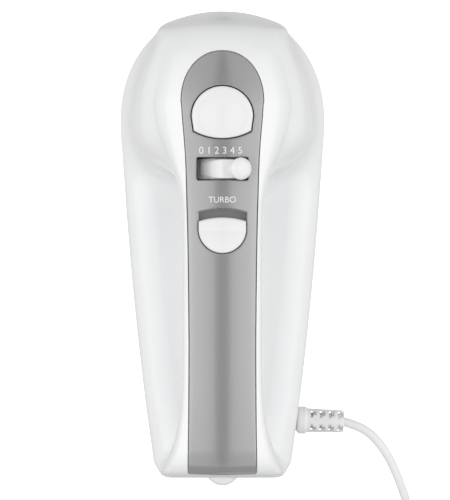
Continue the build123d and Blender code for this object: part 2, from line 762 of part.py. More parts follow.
def armature_shaft():
    rear, front = rear_bearing_y - bearing_width / 2, nose_bearing_y + bearing_width / 2
    return along_y(0, shaft_z, rear, front, motor_shaft_radius)


def worm():
    """Single-start worm on the shaft, in mesh with both wheels."""
    core = along_y(0, shaft_z, worm_rear_y, worm_rear_y + worm_length, worm_root_radius)
    turns = int((worm_length - tooth_pitch) / tooth_pitch)
    height = turns * tooth_pitch
    # the thread crosses the right-hand wheel's side half a pitch away from the wheels' middle
    first = gear_y + tooth_pitch / 2 - (turns + 1) // 2 * tooth_pitch
    half_root = tooth_pitch * tooth_share / 2 + (worm_pitch_radius - worm_root_radius) * tan(radians(20))
    half_tip = tooth_pitch * tooth_share / 2 - tooth_module * tan(radians(20))
    bite = 0.25
    helix = Helix(pitch=tooth_pitch, height=height, radius=worm_root_radius - bite)
    tooth = Polyline((0, -half_root), (worm_tip_radius - worm_root_radius + bite, -half_tip),
                     (worm_tip_radius - worm_root_radius + bite, half_tip), (0, half_root), close=True)
    place = Plane(origin=(worm_root_radius - bite, 0, 0), x_dir=(1, 0, 0), z_dir=(0, -1, 0))
    section = place * make_face(tooth)
    thread = sweep(section, path=helix, is_frenet=True)
    thread = Pos(0, first, shaft_z) * Rot(-90, 0, 0) * thread
    bore = along_y(0, shaft_z, worm_rear_y - 1, worm_rear_y + worm_length + 1, motor_shaft_radius)
    return core + thread - bore


def armature_core():
    core = along_y(0, shaft_z, stator_rear_y, stator_front_y, armature_radius)
    for i in range(12):
        slot = Pos(0, 0, armature_radius - 1.2) * Box(1.6, stator_length + 2, 4)
        core -= Pos(0, motor_y, shaft_z) * Rot(0, i * 30, 0) * slot
    return core - along_y(0, shaft_z, stator_rear_y - 1, stator_front_y + 1, motor_shaft_radius)


def armature_windings():
    """The copper bundles at both ends of the armature."""
    ends = []
    for y0, y1 in ((stator_rear_y - 5.5, stator_rear_y), (stator_front_y, stator_front_y + 5.5)):
        bundle = along_y(0, shaft_z, y0, y1, armature_radius - 1.5)
        bundle = fillet(bundle.edges().filter_by(GeomType.CIRCLE), 2)
        ends.append(bundle - along_y(0, shaft_z, y0 - 1, y1 + 1, motor_shaft_radius))
    return ends


def commutator():
    y0, y1 = commutator_y - commutator_length / 2, commutator_y + commutator_length / 2
    ring = along_y(0, shaft_z, y0, y1, commutator_radius)
    for i in range(12):
        slot = Pos(0, 0, commutator_radius) * Box(0.5, commutator_length + 2, 1.2)
        ring -= Pos(0, commutator_y, shaft_z) * Rot(0, i * 30 + 15, 0) * slot
    return ring - along_y(0, shaft_z, y0 - 1, y1 + 1, motor_shaft_radius)


def cooling_fan():
    """Nine flat blades on a disc."""
    disc = along_y(0, shaft_z, fan_y - fan_width / 2, fan_y - fan_width / 2 + 1.5, fan_radius)
    hub = along_y(0, shaft_z, fan_y - fan_width / 2, fan_y + fan_width / 2, 5.5)
    fan = disc + hub
    for i in range(9):
        blade = Pos(0, 0.5, (fan_radius + 4.5) / 2) * Box(1.2, fan_width - 1, fan_radius - 4.5)
        fan += Pos(0, fan_y, shaft_z) * Rot(0, i * 40, 0) * blade
    return fan - along_y(0, shaft_z, fan_y - fan_width, fan_y + fan_width, motor_shaft_radius)


def bearing(y):
    half = bearing_width / 2
    bush = along_y(0, shaft_z, y - half, y + half, bearing_radius)
    return bush - along_y(0, shaft_z, y - half - 1, y + half + 1, motor_shaft_radius + running_clearance)


def motor_bracket():
    """Rear bridge of the motor, holding the rear bearing and the brush holders."""
    front = rear_bearing_y + bearing_width / 2 - 0.5
    plate = box(-18, 18, front - 3, front, shaft_z - 19, shaft_z + 19)
    plate = fillet(plate.edges().filter_by(Axis.Y), 6)
    for z0, z1 in ((shaft_z + 15, shaft_z + 19), (shaft_z - 19, shaft_z - 15)):
        plate += box(-8, 8, front - 1, stator_rear_y, z0, z1)
    return plate - along_y(0, shaft_z, front - 6, front + 3, bearing_radius)


def brush_holders():
    front = rear_bearing_y + bearing_width / 2 - 0.5
    y_mid = commutator_y
    holder = box(commutator_radius + 1.1, 18.5, front, y_mid + 4, shaft_z - 4.6, shaft_z + 4.6)
    holder -= box(0, 17.5, y_mid - 2.2, y_mid + 2.2, shaft_z - 3.2, shaft_z + 3.2)
    return both_sides(holder)


def carbon_brushes():
    brush = box(commutator_radius + 0.3, 13.5, commutator_y - 2, commutator_y + 2, shaft_z - 3, shaft_z + 3)
    return both_sides(brush)


def brush_springs():
    spring = Pos(13.6, commutator_y, shaft_z) * Rot(0, 90, 0) * coil_spring(1.5, 0.25, 3.8, 3)
    return both_sides(spring)


def motor_screws():
    seat = stator_rear_y - 0.1
    screws = []
    for x in (rail_x, -rail_x):
        shank = along_y(x, shaft_z, seat, stator_front_y + 12, screw_radius - 0.1)
        head = along_y(x, shaft_z, seat - screw_head_height, seat, motor_screw_head_radius)
        screws.append(shank + head)
    return screws


# ---------------------------------------------------------------- gearbox
def gearbox_base():
    """The chassis under the wheels: journals, shaft walls, posts and two rails to the motor."""
    top = base_bottom_z + base_thickness
    rear_wall_y = front_bearing_y - bearing_width / 2
    half = socket_x + post_dx + post_radius
    plate = box(-half, half, rear_wall_y, gear_y + post_dy + post_radius, base_bottom_z, top)
    plate = fillet(plate.edges().filter_by(Axis.Z).sort_by(Axis.Y)[-2:], 10)
    for x, y in post_points():
        plate += upright(x, y, base_bottom_z, cover_plate_z, post_radius)
    plate += box(-rail_x - 3, rail_x + 3, rear_wall_y, rear_wall_y + bearing_width,
                 base_bottom_z, shaft_z + 8)
    plate += box(-8.5, 8.5, nose_bearing_y - 2, nose_bearing_y + 2, base_bottom_z, shaft_z + 8)
    for x in (rail_x, -rail_x):
        rail = along_y(x, shaft_z, stator_front_y + 0.1, rear_wall_y + 1, rail_radius)
        plate += rail - along_y(x, shaft_z, stator_front_y, stator_front_y + 14, screw_radius - 0.1)
    for y in (front_bearing_y, nose_bearing_y):
        plate -= along_y(0, shaft_z, y - 5, y + 5, bearing_radius)
    for x in (socket_x, -socket_x):
        plate -= upright(x, gear_y, 0, top + 1, hub_radius + running_clearance)
    for x, y in post_points():
        plate -= upright(x, y, 0, cover_plate_z + 1, screw_radius + screw_clearance)
    x, y = housing_screw_places[0]
    for side in (x, -x):
        plate -= upright(side, y, 0, top + 1, housing_boss_radius + 0.4)
    return plate


def gearbox_cover():
    """The plate over the wheels, with the two upper journals."""
    z0, z1 = cover_plate_z, cover_plate_z + cover_plate_thickness
    half = socket_x + post_dx + post_radius
    plate = box(-half, half, gear_y - post_dy - post_radius, gear_y + post_dy + post_radius, z0, z1)
    plate = fillet(plate.edges().filter_by(Axis.Z), 4)
    for x in (socket_x, -socket_x):
        plate += upright(x, gear_y, z0 - 2.8, z1 + 2, upper_journal_radius + 3)
        plate -= upright(x, gear_y, 0, 100, upper_journal_radius + running_clearance)
    for x, y in post_points():
        plate -= upright(x, y, 0, 100, screw_radius + screw_clearance)
    x, y = housing_screw_places[0]
    for side in (x, -x):
        plate -= upright(side, y, 0, 100, housing_boss_radius + 0.4)
    return plate - box(-9, 9, nose_bearing_y - 2.2, nose_bearing_y + 2.2, 0, shaft_z + 8.3)


def drive_gear(x, phase):
    """A straight-toothed wheel with the beater socket in its hub."""
    half_root = pi / wheel_teeth * (2 * tooth_share) * 0.5 + radians(2.6)
    half_tip = pi / wheel_teeth * (2 * tooth_share) * 0.5 - radians(1.0)
    root_radius = wheel_pitch_radius - 1.25 * tooth_module
    wheel = Circle(root_radius + 0.05)
    for i in range(wheel_teeth):
        middle = 2 * pi * i / wheel_teeth + phase
        corners = [(root_radius - 0.3, middle - half_root), (wheel_tip_radius, middle - half_tip),
                   (wheel_tip_radius, middle + half_tip), (root_radius - 0.3, middle + half_root)]
        points = [(r * cos(a), r * sin(a)) for r, a in corners]
        wheel += make_face(Polyline(*points, close=True))
    rim = Pos(0, 0, wheel_bottom_z) * extrude(wheel, wheel_width)
    pocket = Cylinder(root_radius - 2, 2.5) - Cylinder(hub_radius + 1.6, 2.5)
    rim -= Pos(0, 0, wheel_bottom_z + 1.25) * pocket
    rim -= Pos(0, 0, wheel_bottom_z + wheel_width - 1.25) * pocket
    hub = upright(0, 0, hub_bottom_z, wheel_bottom_z + 1, hub_radius)
    top = cover_plate_z + cover_plate_thickness + 2
    journal = upright(0, 0, wheel_bottom_z + wheel_width - 1, top, upper_journal_radius)
    gear = rim + hub + journal
    gear -= upright(0, 0, hub_bottom_z - 1, socket_floor_z, socket_bore_radius)
    gear -= upright(0, 0, socket_floor_z - 1, top + 1, pin_radius + pin_clearance)
    return Pos(x, gear_y, 0) * gear


def socket_collar(x):
    """The ring in the belly round a beater socket."""
    ring = upright(x, gear_y, 0, wall + 0.1, socket_collar_radius)
    ring += upright(x, gear_y, wall + 0.1, wall + 1.2, socket_collar_radius + 1.5)
    return ring - upright(x, gear_y, -1, wall + 2, collar_bore_radius)


def gearbox_screws():
    top = cover_plate_z + cover_plate_thickness
    screws = []
    for x, y in post_points():
        screws.append(upright(x, y, 4.5, top + 0.1, screw_radius - 0.1)
                      + upright(x, y, top + 0.1, top + 0.1 + screw_head_height, screw_head_radius))
    return screws


def housing_screws():
    seat = parting_z - 18
    screws = []
    for x, y in housing_screw_points():
        screws.append(upright(x, y, seat - 0.1, parting_z + 12, screw_radius - 0.1)
                      + upright(x, y, seat - 0.1 - screw_head_height, seat - 0.1, screw_head_radius))
    return screws


# ---------------------------------------------------------------- electrics in the tail
def control_board():
    return box(-20, 20, board_y - 13, board_y + 12, board_z, board_z + board_thickness)


def suppressor_capacitor():
    z = board_z + board_thickness
    block = box(0, 17, board_y - 8, board_y - 1, z, z + 12)
    return fillet(block.edges().filter_by(Axis.Z), 1)


def terminal_block():
    z = board_z + board_thickness
    block = box(-17, -5, board_y - 8, board_y + 8, z, z + 9)
    for y in (board_y - 4, board_y + 4):
        block -= upright(-11, y, z + 3, z + 12, 1.6)
    return block


def board_triac():
    """The power switch on its small heat sink."""
    z = board_z + board_thickness
    fin = box(2, 16, board_y + 4, board_y + 5.2, z, z + 16)
    return fin + box(5, 13, board_y + 5.2, board_y + 8.5, z + 2, z + 12)


def lead_wires():
    """Two leads from the cord's stripped end to the terminal block."""
    wires = []
    for side in (-1, 1):
        end = relief_frame().origin - relief_frame().z_dir * (inner_cord_end + 0.05)
        points = [(end.X, end.Y + side * 1.1, parting_z), (4, cord_y + side * 1.6, parting_z),
                  (-5, cord_y + side * 3, parting_z - 6), (-11, board_y + side * 4, board_z + 18),
                  (-11, board_y + side * 4, board_z + 6)]
        wires.append(tube(points, 0.8)[0])
    return wires


def switch_harness():
    """Three leads from the board up through the handle to the turbo switch."""
    wires = []
    for i in (-1, 0, 1):
        x = 2.4 * i
        points = [(x - 10, board_y - 11, board_z + board_thickness + 0.2), (x - 6, cable_hole_y + 0.4, 38),
                  (x, cable_hole_y, body_top), (x, cable_hole_y + 6, 82), (x, heel_y + 26, 97),
                  (x, heel_y + 48, 101), (x, stem_y - 16.2, 101)]
        wires.append(tube(points, 0.7)[0])
    return wires


def inner_cord():
    """The cord's last stretch, from the strain relief to the clamp."""
    length = inner_cord_end - 3.0
    return relief_frame() * Pos(0, 0, -3.0 - length / 2) * Cylinder(cord_radius, length)


def cord_clamp():
    """The bar that grips the cord inside the tail."""
    z0, reach = parting_z - cord_radius - 0.9, clamp_reach + 3.2
    x0, x1 = clamp_points()[0][0] - clamp_half_width, clamp_points()[0][0] + clamp_half_width
    bar = box(x0, x1, cord_y - reach, cord_y + reach, z0, z0 + clamp_height)
    bar = fillet(bar.edges().filter_by(Axis.Z), 2)
    bar -= along_x(cord_y + 0.35, parting_z, x0 - 2, x1 + 2, cord_radius + 0.5)
    for x, y in clamp_points():
        bar -= upright(x, y, 0, body_top, 1.3)
    return bar


def clamp_screws():
    seat = parting_z - cord_radius - 0.8 + clamp_height
    screws = []
    for x, y in clamp_points():
        screws.append(upright(x, y, 20, seat, 1.0) + upright(x, y, seat, seat + 1.6, 2.2))
    return screws


def strain_relief():
    """A soft sleeve held by the wall between its collar and an inner flange."""
    sleeve = Cone(sleeve_radius + 0.15, sleeve_radius - 0.25, sleeve_length)
    body = Pos(0, 0, collar_length + 0.4 + sleeve_length / 2) * sleeve
    collar = Pos(0, 0, 0.4 + collar_length / 2) * Cylinder(collar_radius, collar_length)
    body += fillet(collar.edges().filter_by(GeomType.CIRCLE), 0.8)
    body += Pos(0, 0, 0.7 - neck_length / 2) * Cylinder(neck_radius, neck_length)
    flange = Cylinder(collar_radius + 0.3, flange_thickness)
    body += Pos(0, 0, 0.8 - neck_length - flange_thickness / 2) * flange
    for i in range(sleeve_slots):
        along = collar_length + 2.6 + slot_pitch * i
        for turn in (0, 90):
            for side in (-2.7, 2.7):
                cut = Pos(0, side, along + (1.3 if turn else 0)) * Box(2 * sleeve_radius + 2, 2.2, 0.9)
                body -= Rot(0, 0, turn + 90) * (cut - Cylinder(cord_radius + 1.2, 60))
    body -= Pos(0, 0, -5) * Cylinder(cord_radius, 8)
    return relief_frame() * body


# ---------------------------------------------------------------- cord beyond the mixer
def coil_centre():
    end, before = cord_points[-1], cord_points[-2]
    heading = atan2(end[1] - before[1], end[0] - before[0])
    inward = heading - pi / 2
    lane = coil_ring_radius + coil_lane
    return (end[0] + lane * cos(inward), end[1] + lane * sin(inward))


def cord_coil():
    """The neat hank that the rest of the cord is wound into."""
    x, y = coil_centre()
    ring = Cylinder(coil_ring_radius + coil_band_width / 2, coil_band_height)
    ring -= Cylinder(coil_ring_radius - coil_band_width / 2, coil_band_height + 2)
    ring = fillet(ring.edges().filter_by(GeomType.CIRCLE), 2)
    return Pos(x, y, coil_bottom_z + coil_band_height / 2) * ring


def tie_place():
    """The tie sits on the hank's far side from where the cord comes in."""
    x, y = coil_centre()
    return Pos(x - coil_ring_radius * 0.7071, y - coil_ring_radius * 0.7071, 0) * Rot(0, 0, 45)


def cord_tie():
    inner_w, gap = coil_band_width + 0.5, 0.25
    z0 = coil_bottom_z - gap
    z1 = coil_bottom_z + coil_band_height + gap
    outer = box(-inner_w / 2 - tie_thickness, inner_w / 2 + tie_thickness, -tie_width / 2, tie_width / 2,
                z0 - tie_thickness, z1 + tie_thickness)
    outer -= box(-inner_w / 2, inner_w / 2, -tie_width, tie_width, z0, z1)
    return tie_place() * outer


def tail_start():
    """Where the cord leaves the hank for the plug, along its outermost lane."""
    x, y = coil_centre()
    lane, edge = coil_ring_radius + coil_lane, coil_ring_radius + coil_band_width / 2
    return x - sqrt(edge**2 - lane**2) + 1.0, y - lane


def cord_tail():
    x, y = tail_start()
    return along_x(y, plug_thickness / 2, x - tail_length, x, cord_radius)


def plug_body():
    """A flat moulded plug that narrows towards the cord."""
    x, y = tail_start()
    w, nose, shoulder = plug_width / 2, plug_nose_width / 2, plug_length * 0.45
    corners = [(0, nose), (-shoulder, w), (-plug_length, w), (-plug_length, -w), (-shoulder, -w), (0, -nose)]
    plug = extrude(make_face(Polyline(*corners, close=True)), plug_thickness)
    plug = fillet(plug.edges().filter_by(Axis.Z), 2.5)
    return Pos(x - tail_length, y, 0.05) * plug


def plug_pins():
    x, y = tail_start()
    root = x - tail_length - plug_length
    pins = []
    for side in (-1, 1):
        place = y + side * plug_pin_spacing / 2
        pin = along_x(place, plug_thickness / 2, root - plug_pin_length, root, plug_pin_radius)
        pins.append(fillet(pin.edges().filter_by(GeomType.CIRCLE).sort_by(Axis.X)[:1], 1.0))
    return pins


# ---------------------------------------------------------------- every node
def build_nodes():
    handle = handle_body(0)
    handle_skin = handle_body(cover_thickness)
    body = motor_body(0)
    body_inner = motor_body(wall)
    outer = body + front_dome(0) + handle
    inner = body_inner + front_dome(wall) + handle_body(wall)
    power_cord, path, radii = tube(cord_points, cord_radius)
    expected = pi * cord_radius**2 * path.length
    print("cord radii", [round(r, 1) for r in radii])
    print("cord volume", round(power_cord.volume, 1), "expected", round(expected, 1))
    return {
        "upper_housing": upper_housing(outer, inner, handle_skin),
        "lower_housing": lower_housing(body, body_inner),
        "front_grille": front_grille(),
        "handle_cover": handle_cover(handle, handle_skin),
        "eject_button": eject_button(handle),
        "ejector_rod": ejector_rod(),
        "ejector_pins": ejector_pins(),
        "eject_spring": eject_spring(),
        "control_frame": control_frame(),
        "frame_screws": frame_screws(),
        "speed_dial": speed_dial(),
        "speed_contact": speed_contact(),
        "speed_switch": speed_switch(),
        "turbo_button": turbo_button(),
        "turbo_spring": turbo_spring(),
        "turbo_switch": turbo_switch(),
        "motor_stator": motor_stator(),
        "field_windings": field_windings(),
        "armature_shaft": armature_shaft(),
        "worm": worm(),
        "armature_core": armature_core(),
        "armature_windings": armature_windings(),
        "commutator": commutator(),
        "cooling_fan": cooling_fan(),
        "rear_bearing": bearing(rear_bearing_y),
        "front_bearing": bearing(front_bearing_y),
        "nose_bearing": bearing(nose_bearing_y),
        "motor_bracket": motor_bracket(),
        "brush_holders": brush_holders(),
        "carbon_brushes": carbon_brushes(),
        "brush_springs": brush_springs(),
        "motor_screws": motor_screws(),
        "gearbox_base": gearbox_base(),
        "gearbox_cover": gearbox_cover(),
        "right_drive_gear": drive_gear(socket_x, pi),
        "left_drive_gear": drive_gear(-socket_x, pi / wheel_teeth),
        "right_socket_collar": socket_collar(socket_x),
        "left_socket_collar": socket_collar(-socket_x),
        "gearbox_screws": gearbox_screws(),
        "housing_screws": housing_screws(),
        "control_board": control_board(),
        "suppressor_capacitor": suppressor_capacitor(),
        "terminal_block": terminal_block(),
        "board_triac": board_triac(),
        "lead_wires": lead_wires(),
        "switch_harness": switch_harness(),
        "inner_cord": inner_cord(),
        "cord_clamp": cord_clamp(),
        "clamp_screws": clamp_screws(),
        "strain_relief": strain_relief(),
        "power_cord": power_cord,
        "cord_coil": cord_coil(),
        "cord_tie": cord_tie(),
        "cord_tail": cord_tail(),
        "plug_body": plug_body(),
        "plug_pins": plug_pins(),
    }


os.makedirs("parts", exist_ok=True)
for name, shape in build_nodes().items():
    solids = shape if isinstance(shape, list) else shape.solids()
    flat = [solid for piece in solids for solid in piece.solids()]
    export_step(Compound(children=flat), f"parts/{name}.step")
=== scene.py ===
"""Hand mixer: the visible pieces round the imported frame. Fields are in millimetres, objects in metres."""

import json
from math import atan2, cos, hypot, pi, radians, sin

import bmesh
import bpy
import numpy as np
import openvdb
from bpy.props import FloatProperty, FloatVectorProperty, IntProperty, PointerProperty
from bpy.types import Operator, Panel, PropertyGroup
from mathutils import Matrix, Vector


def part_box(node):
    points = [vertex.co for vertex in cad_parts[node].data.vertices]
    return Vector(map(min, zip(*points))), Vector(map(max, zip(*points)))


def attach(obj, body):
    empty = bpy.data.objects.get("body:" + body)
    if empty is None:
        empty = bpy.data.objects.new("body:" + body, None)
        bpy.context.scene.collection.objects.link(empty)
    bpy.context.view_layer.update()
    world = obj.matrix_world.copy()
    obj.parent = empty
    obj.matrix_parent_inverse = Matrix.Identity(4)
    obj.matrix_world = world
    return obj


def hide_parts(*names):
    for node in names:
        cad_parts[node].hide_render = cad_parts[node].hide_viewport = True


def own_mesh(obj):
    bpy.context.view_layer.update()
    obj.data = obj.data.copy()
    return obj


bl_info = {
    "name": "Hand Mixer",
    "version": (1, 0, 0),
    "blender": (4, 5, 0),
    "location": "View3D > Sidebar > Mixer",
    "description": "Builds the visible pieces of a hand mixer round its packed frame",
    "category": "Add Mesh",
}

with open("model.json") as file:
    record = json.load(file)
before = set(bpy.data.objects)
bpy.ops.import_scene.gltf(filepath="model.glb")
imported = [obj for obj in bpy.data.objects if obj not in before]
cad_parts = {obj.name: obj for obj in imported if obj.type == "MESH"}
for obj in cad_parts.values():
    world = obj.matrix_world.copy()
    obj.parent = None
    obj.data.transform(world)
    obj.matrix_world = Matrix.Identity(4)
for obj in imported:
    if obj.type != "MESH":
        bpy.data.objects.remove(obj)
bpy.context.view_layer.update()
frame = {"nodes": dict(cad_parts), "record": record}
MM = 0.001


def low(node):
    """Lowest corner of a node, in millimetres."""
    return np.array(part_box(node)[0]) / MM


def high(node):
    """Highest corner of a node, in millimetres."""
    return np.array(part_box(node)[1]) / MM


# Places read from the frame, in millimetres
HALF_WIDTH = 44.8
NOSE_TIP = 104.2
NOSE_REACH = 49.5
NOSE_Y = NOSE_TIP - NOSE_REACH
NOSE_POWER = 2.2  # superellipse exponent of the nose's plan
NOSE_STAND = 1.3  # how far the grille's ribs stand out of the nose
HEEL_REST_REACH = 5.7
HEEL_REST_RADIUS = 8.0
HEEL_Y = low("lower_housing")[1] + HEEL_REST_REACH
HANDLE_TOP = 122.0
BODY_TOP = 62.0
PARTING_Z = 42.0
PARTING_GAP = 0.3
GEAR_Y = (low("right_socket_collar")[1] + high("right_socket_collar")[1]) / 2
SOCKET_X = (low("right_socket_collar")[0] + high("right_socket_collar")[0]) / 2
BUTTON_Y = NOSE_Y + 2.3
DRUM_RADIUS = 12.6
DRUM_HALF_LENGTH = 4.55
CONTACT_STAND = 0.31  # the wiper's middle, forward of the drum's face
DRUM_Y = (low("speed_contact")[1] + high("speed_contact")[1]) / 2 - DRUM_HALF_LENGTH - CONTACT_STAND
DRUM_Z = low("speed_dial")[2] + DRUM_RADIUS
SLOT_HALF_WIDTH = 10.9
SLOT_HALF_LENGTH = 4.85
SLIDER_RADIUS = 10.05
TURBO_Y = low("turbo_button")[1] + SLIDER_RADIUS
RELIEF_Y = HEEL_Y + 24.0
COLLAR_HOLE_RADIUS = 10.15
SCREW_HOLE_RADIUS = 3.3
AIR_SLOTS = 6
DOME_BLEND = 14.0
PRINT_STAND = 0.02
EJECT_TRAVEL = 6.0
TURBO_TRAVEL = 3.0
RIB_PITCH = 8.15
RIB_RADIUS = 4.7
TIE_WIDTH = 6.0


# ---------------------------------------------------------------- properties
class HousingSizes(PropertyGroup):
    """Sizes of the two white housings."""

    wall: FloatProperty(name="Wall", description="Thickness of the housing walls",
                        default=2.6 * MM, unit="LENGTH")
    top_edge: FloatProperty(name="Top edge", description="Radius of the body's upper edge",
                            default=14 * MM, unit="LENGTH")
    belly_edge: FloatProperty(name="Belly edge", description="Radius of the body's lower edge",
                              default=9 * MM, unit="LENGTH")
    root_blend: FloatProperty(name="Root blend", description="Size of the blends at the handle's roots",
                              default=11 * MM, unit="LENGTH")
    voxel: FloatProperty(name="Cell", description="Cell of the surface mesh", default=0.8 * MM, unit="LENGTH")


class StripSizes(PropertyGroup):
    """Sizes of the grey strip and its openings."""

    thickness: FloatProperty(name="Thickness", description="Thickness of the strip",
                             default=1.4 * MM, unit="LENGTH")
    gap: FloatProperty(name="Gap", description="Seam between the strip and the housing",
                       default=0.25 * MM, unit="LENGTH")
    rim: FloatProperty(name="Rim", description="Rounding of the strip's rim", default=0.7 * MM, unit="LENGTH")


class ControlSizes(PropertyGroup):
    """Sizes of the button, the speed knob and the turbo slider."""

    button_proud: FloatProperty(name="Button height", description="How far the eject button stands out",
                                default=0.5 * MM, unit="LENGTH")
    dish_radius: FloatProperty(name="Dish", description="Radius of the eject button's dish", default=9.2 * MM,
                               unit="LENGTH")
    dish_depth: FloatProperty(name="Dish depth", description="Depth of the eject button's dish",
                              default=1.3 * MM, unit="LENGTH")
    knob_radius: FloatProperty(name="Knob", description="Radius of the speed knob",
                               default=4.7 * MM, unit="LENGTH")
    rest_angle: FloatProperty(name="Rest angle", description="Angle of the speed knob at rest",
                              default=radians(23), unit="ROTATION")
    speeds: IntProperty(name="Speeds", description="Highest number on the speed scale",
                        default=5, min=2, max=9)
    digit_pitch: FloatProperty(name="Digit pitch", description="Distance between two digits",
                               default=3.28 * MM, unit="LENGTH")


class CordSizes(PropertyGroup):
    """Sizes of the lead and its coil."""

    diameter: FloatProperty(name="Diameter", description="Diameter of the lead",
                            default=4.0 * MM, unit="LENGTH")
    coil_radius: FloatProperty(name="Coil radius", description="Middle radius of the coil", default=24 * MM,
                               unit="LENGTH")
    lane: FloatProperty(name="Lane", description="Distance between neighbouring turns", default=4.2 * MM,
                        unit="LENGTH")


class StageSettings(PropertyGroup):
    """Camera and light."""

    camera_height: FloatProperty(name="Camera height",
                                 description="Height of the camera above the body's outline",
                                 default=1.5, unit="LENGTH")
    seen_height: FloatProperty(name="Seen height", description="Height of the picture at the outline's level",
                               default=0.2207, unit="LENGTH")
    gap: FloatProperty(name="Gap", description="Width of the dark gap overhead, as a share", default=0.036)
    sky: FloatProperty(name="Sky", description="Strength of the surrounding light", default=1.85)
    floor_glow: FloatProperty(name="Floor glow", description="Light that the white floor gives off",
                              default=0.5)


class MixerColours(PropertyGroup):
    """Colours of the visible finishes."""

    shell: FloatVectorProperty(name="Shell", description="White housing plastic", subtype="COLOR", size=3,
                               default=(0.85, 0.855, 0.86))
    strip: FloatVectorProperty(name="Strip", description="Satin grey strip", subtype="COLOR", size=3,
                               default=(0.40, 0.40, 0.402))
    controls: FloatVectorProperty(name="Controls",
                                  description="White button, knob and slider", subtype="COLOR", size=3,
                                  default=(0.79, 0.79, 0.795))
    lead: FloatVectorProperty(name="Lead", description="White lead and plug", subtype="COLOR", size=3,
                              default=(0.80, 0.80, 0.80))


# ---------------------------------------------------------------- materials
def surface(name, light, dark, roughness, metallic=0.0, coat=0.0, cell=120.0, spread=0.04, grain=900.0,
            bump=0.02):
    """A procedural surface: faint colour drift, uneven gloss and a fine relief."""
    material = bpy.data.materials.new(name)
    material.use_nodes = True
    nodes, links = material.node_tree.nodes, material.node_tree.links
    shader = nodes["Principled BSDF"]
    shader.inputs["Metallic"].default_value = metallic
    shader.inputs["Coat Weight"].default_value = coat
    shader.inputs["Coat Roughness"].default_value = 0.08
    place = nodes.new("ShaderNodeTexCoord")
    drift = nodes.new("ShaderNodeTexNoise")
    drift.inputs["Scale"].default_value = cell
    drift.inputs["Detail"].default_value = 3.0
    links.new(place.outputs["Object"], drift.inputs["Vector"])
    ramp = nodes.new("ShaderNodeValToRGB")
    ramp.color_ramp.elements[0].position, ramp.color_ramp.elements[1].position = 0.3, 0.7
    ramp.color_ramp.elements[0].color = (*dark, 1)
    ramp.color_ramp.elements[1].color = (*light, 1)
    links.new(drift.outputs["Fac"], ramp.inputs["Fac"])
    links.new(ramp.outputs["Color"], shader.inputs["Base Color"])
    gloss = nodes.new("ShaderNodeMapRange")
    gloss.inputs["To Min"].default_value = roughness - spread
    gloss.inputs["To Max"].default_value = roughness + spread
    links.new(drift.outputs["Fac"], gloss.inputs["Value"])
    links.new(gloss.outputs["Result"], shader.inputs["Roughness"])
    fine = nodes.new("ShaderNodeTexNoise")
    fine.inputs["Scale"].default_value = grain
    links.new(place.outputs["Object"], fine.inputs["Vector"])
    relief = nodes.new("ShaderNodeBump")
    relief.inputs["Strength"].default_value = bump
    relief.inputs["Distance"].default_value = 0.0005
    links.new(fine.outputs["Fac"], relief.inputs["Height"])
    links.new(relief.outputs["Normal"], shader.inputs["Normal"])
    return material


def shaded(colour, factor):
    """The colour, darker by a factor."""
    return tuple(c * factor for c in colour)


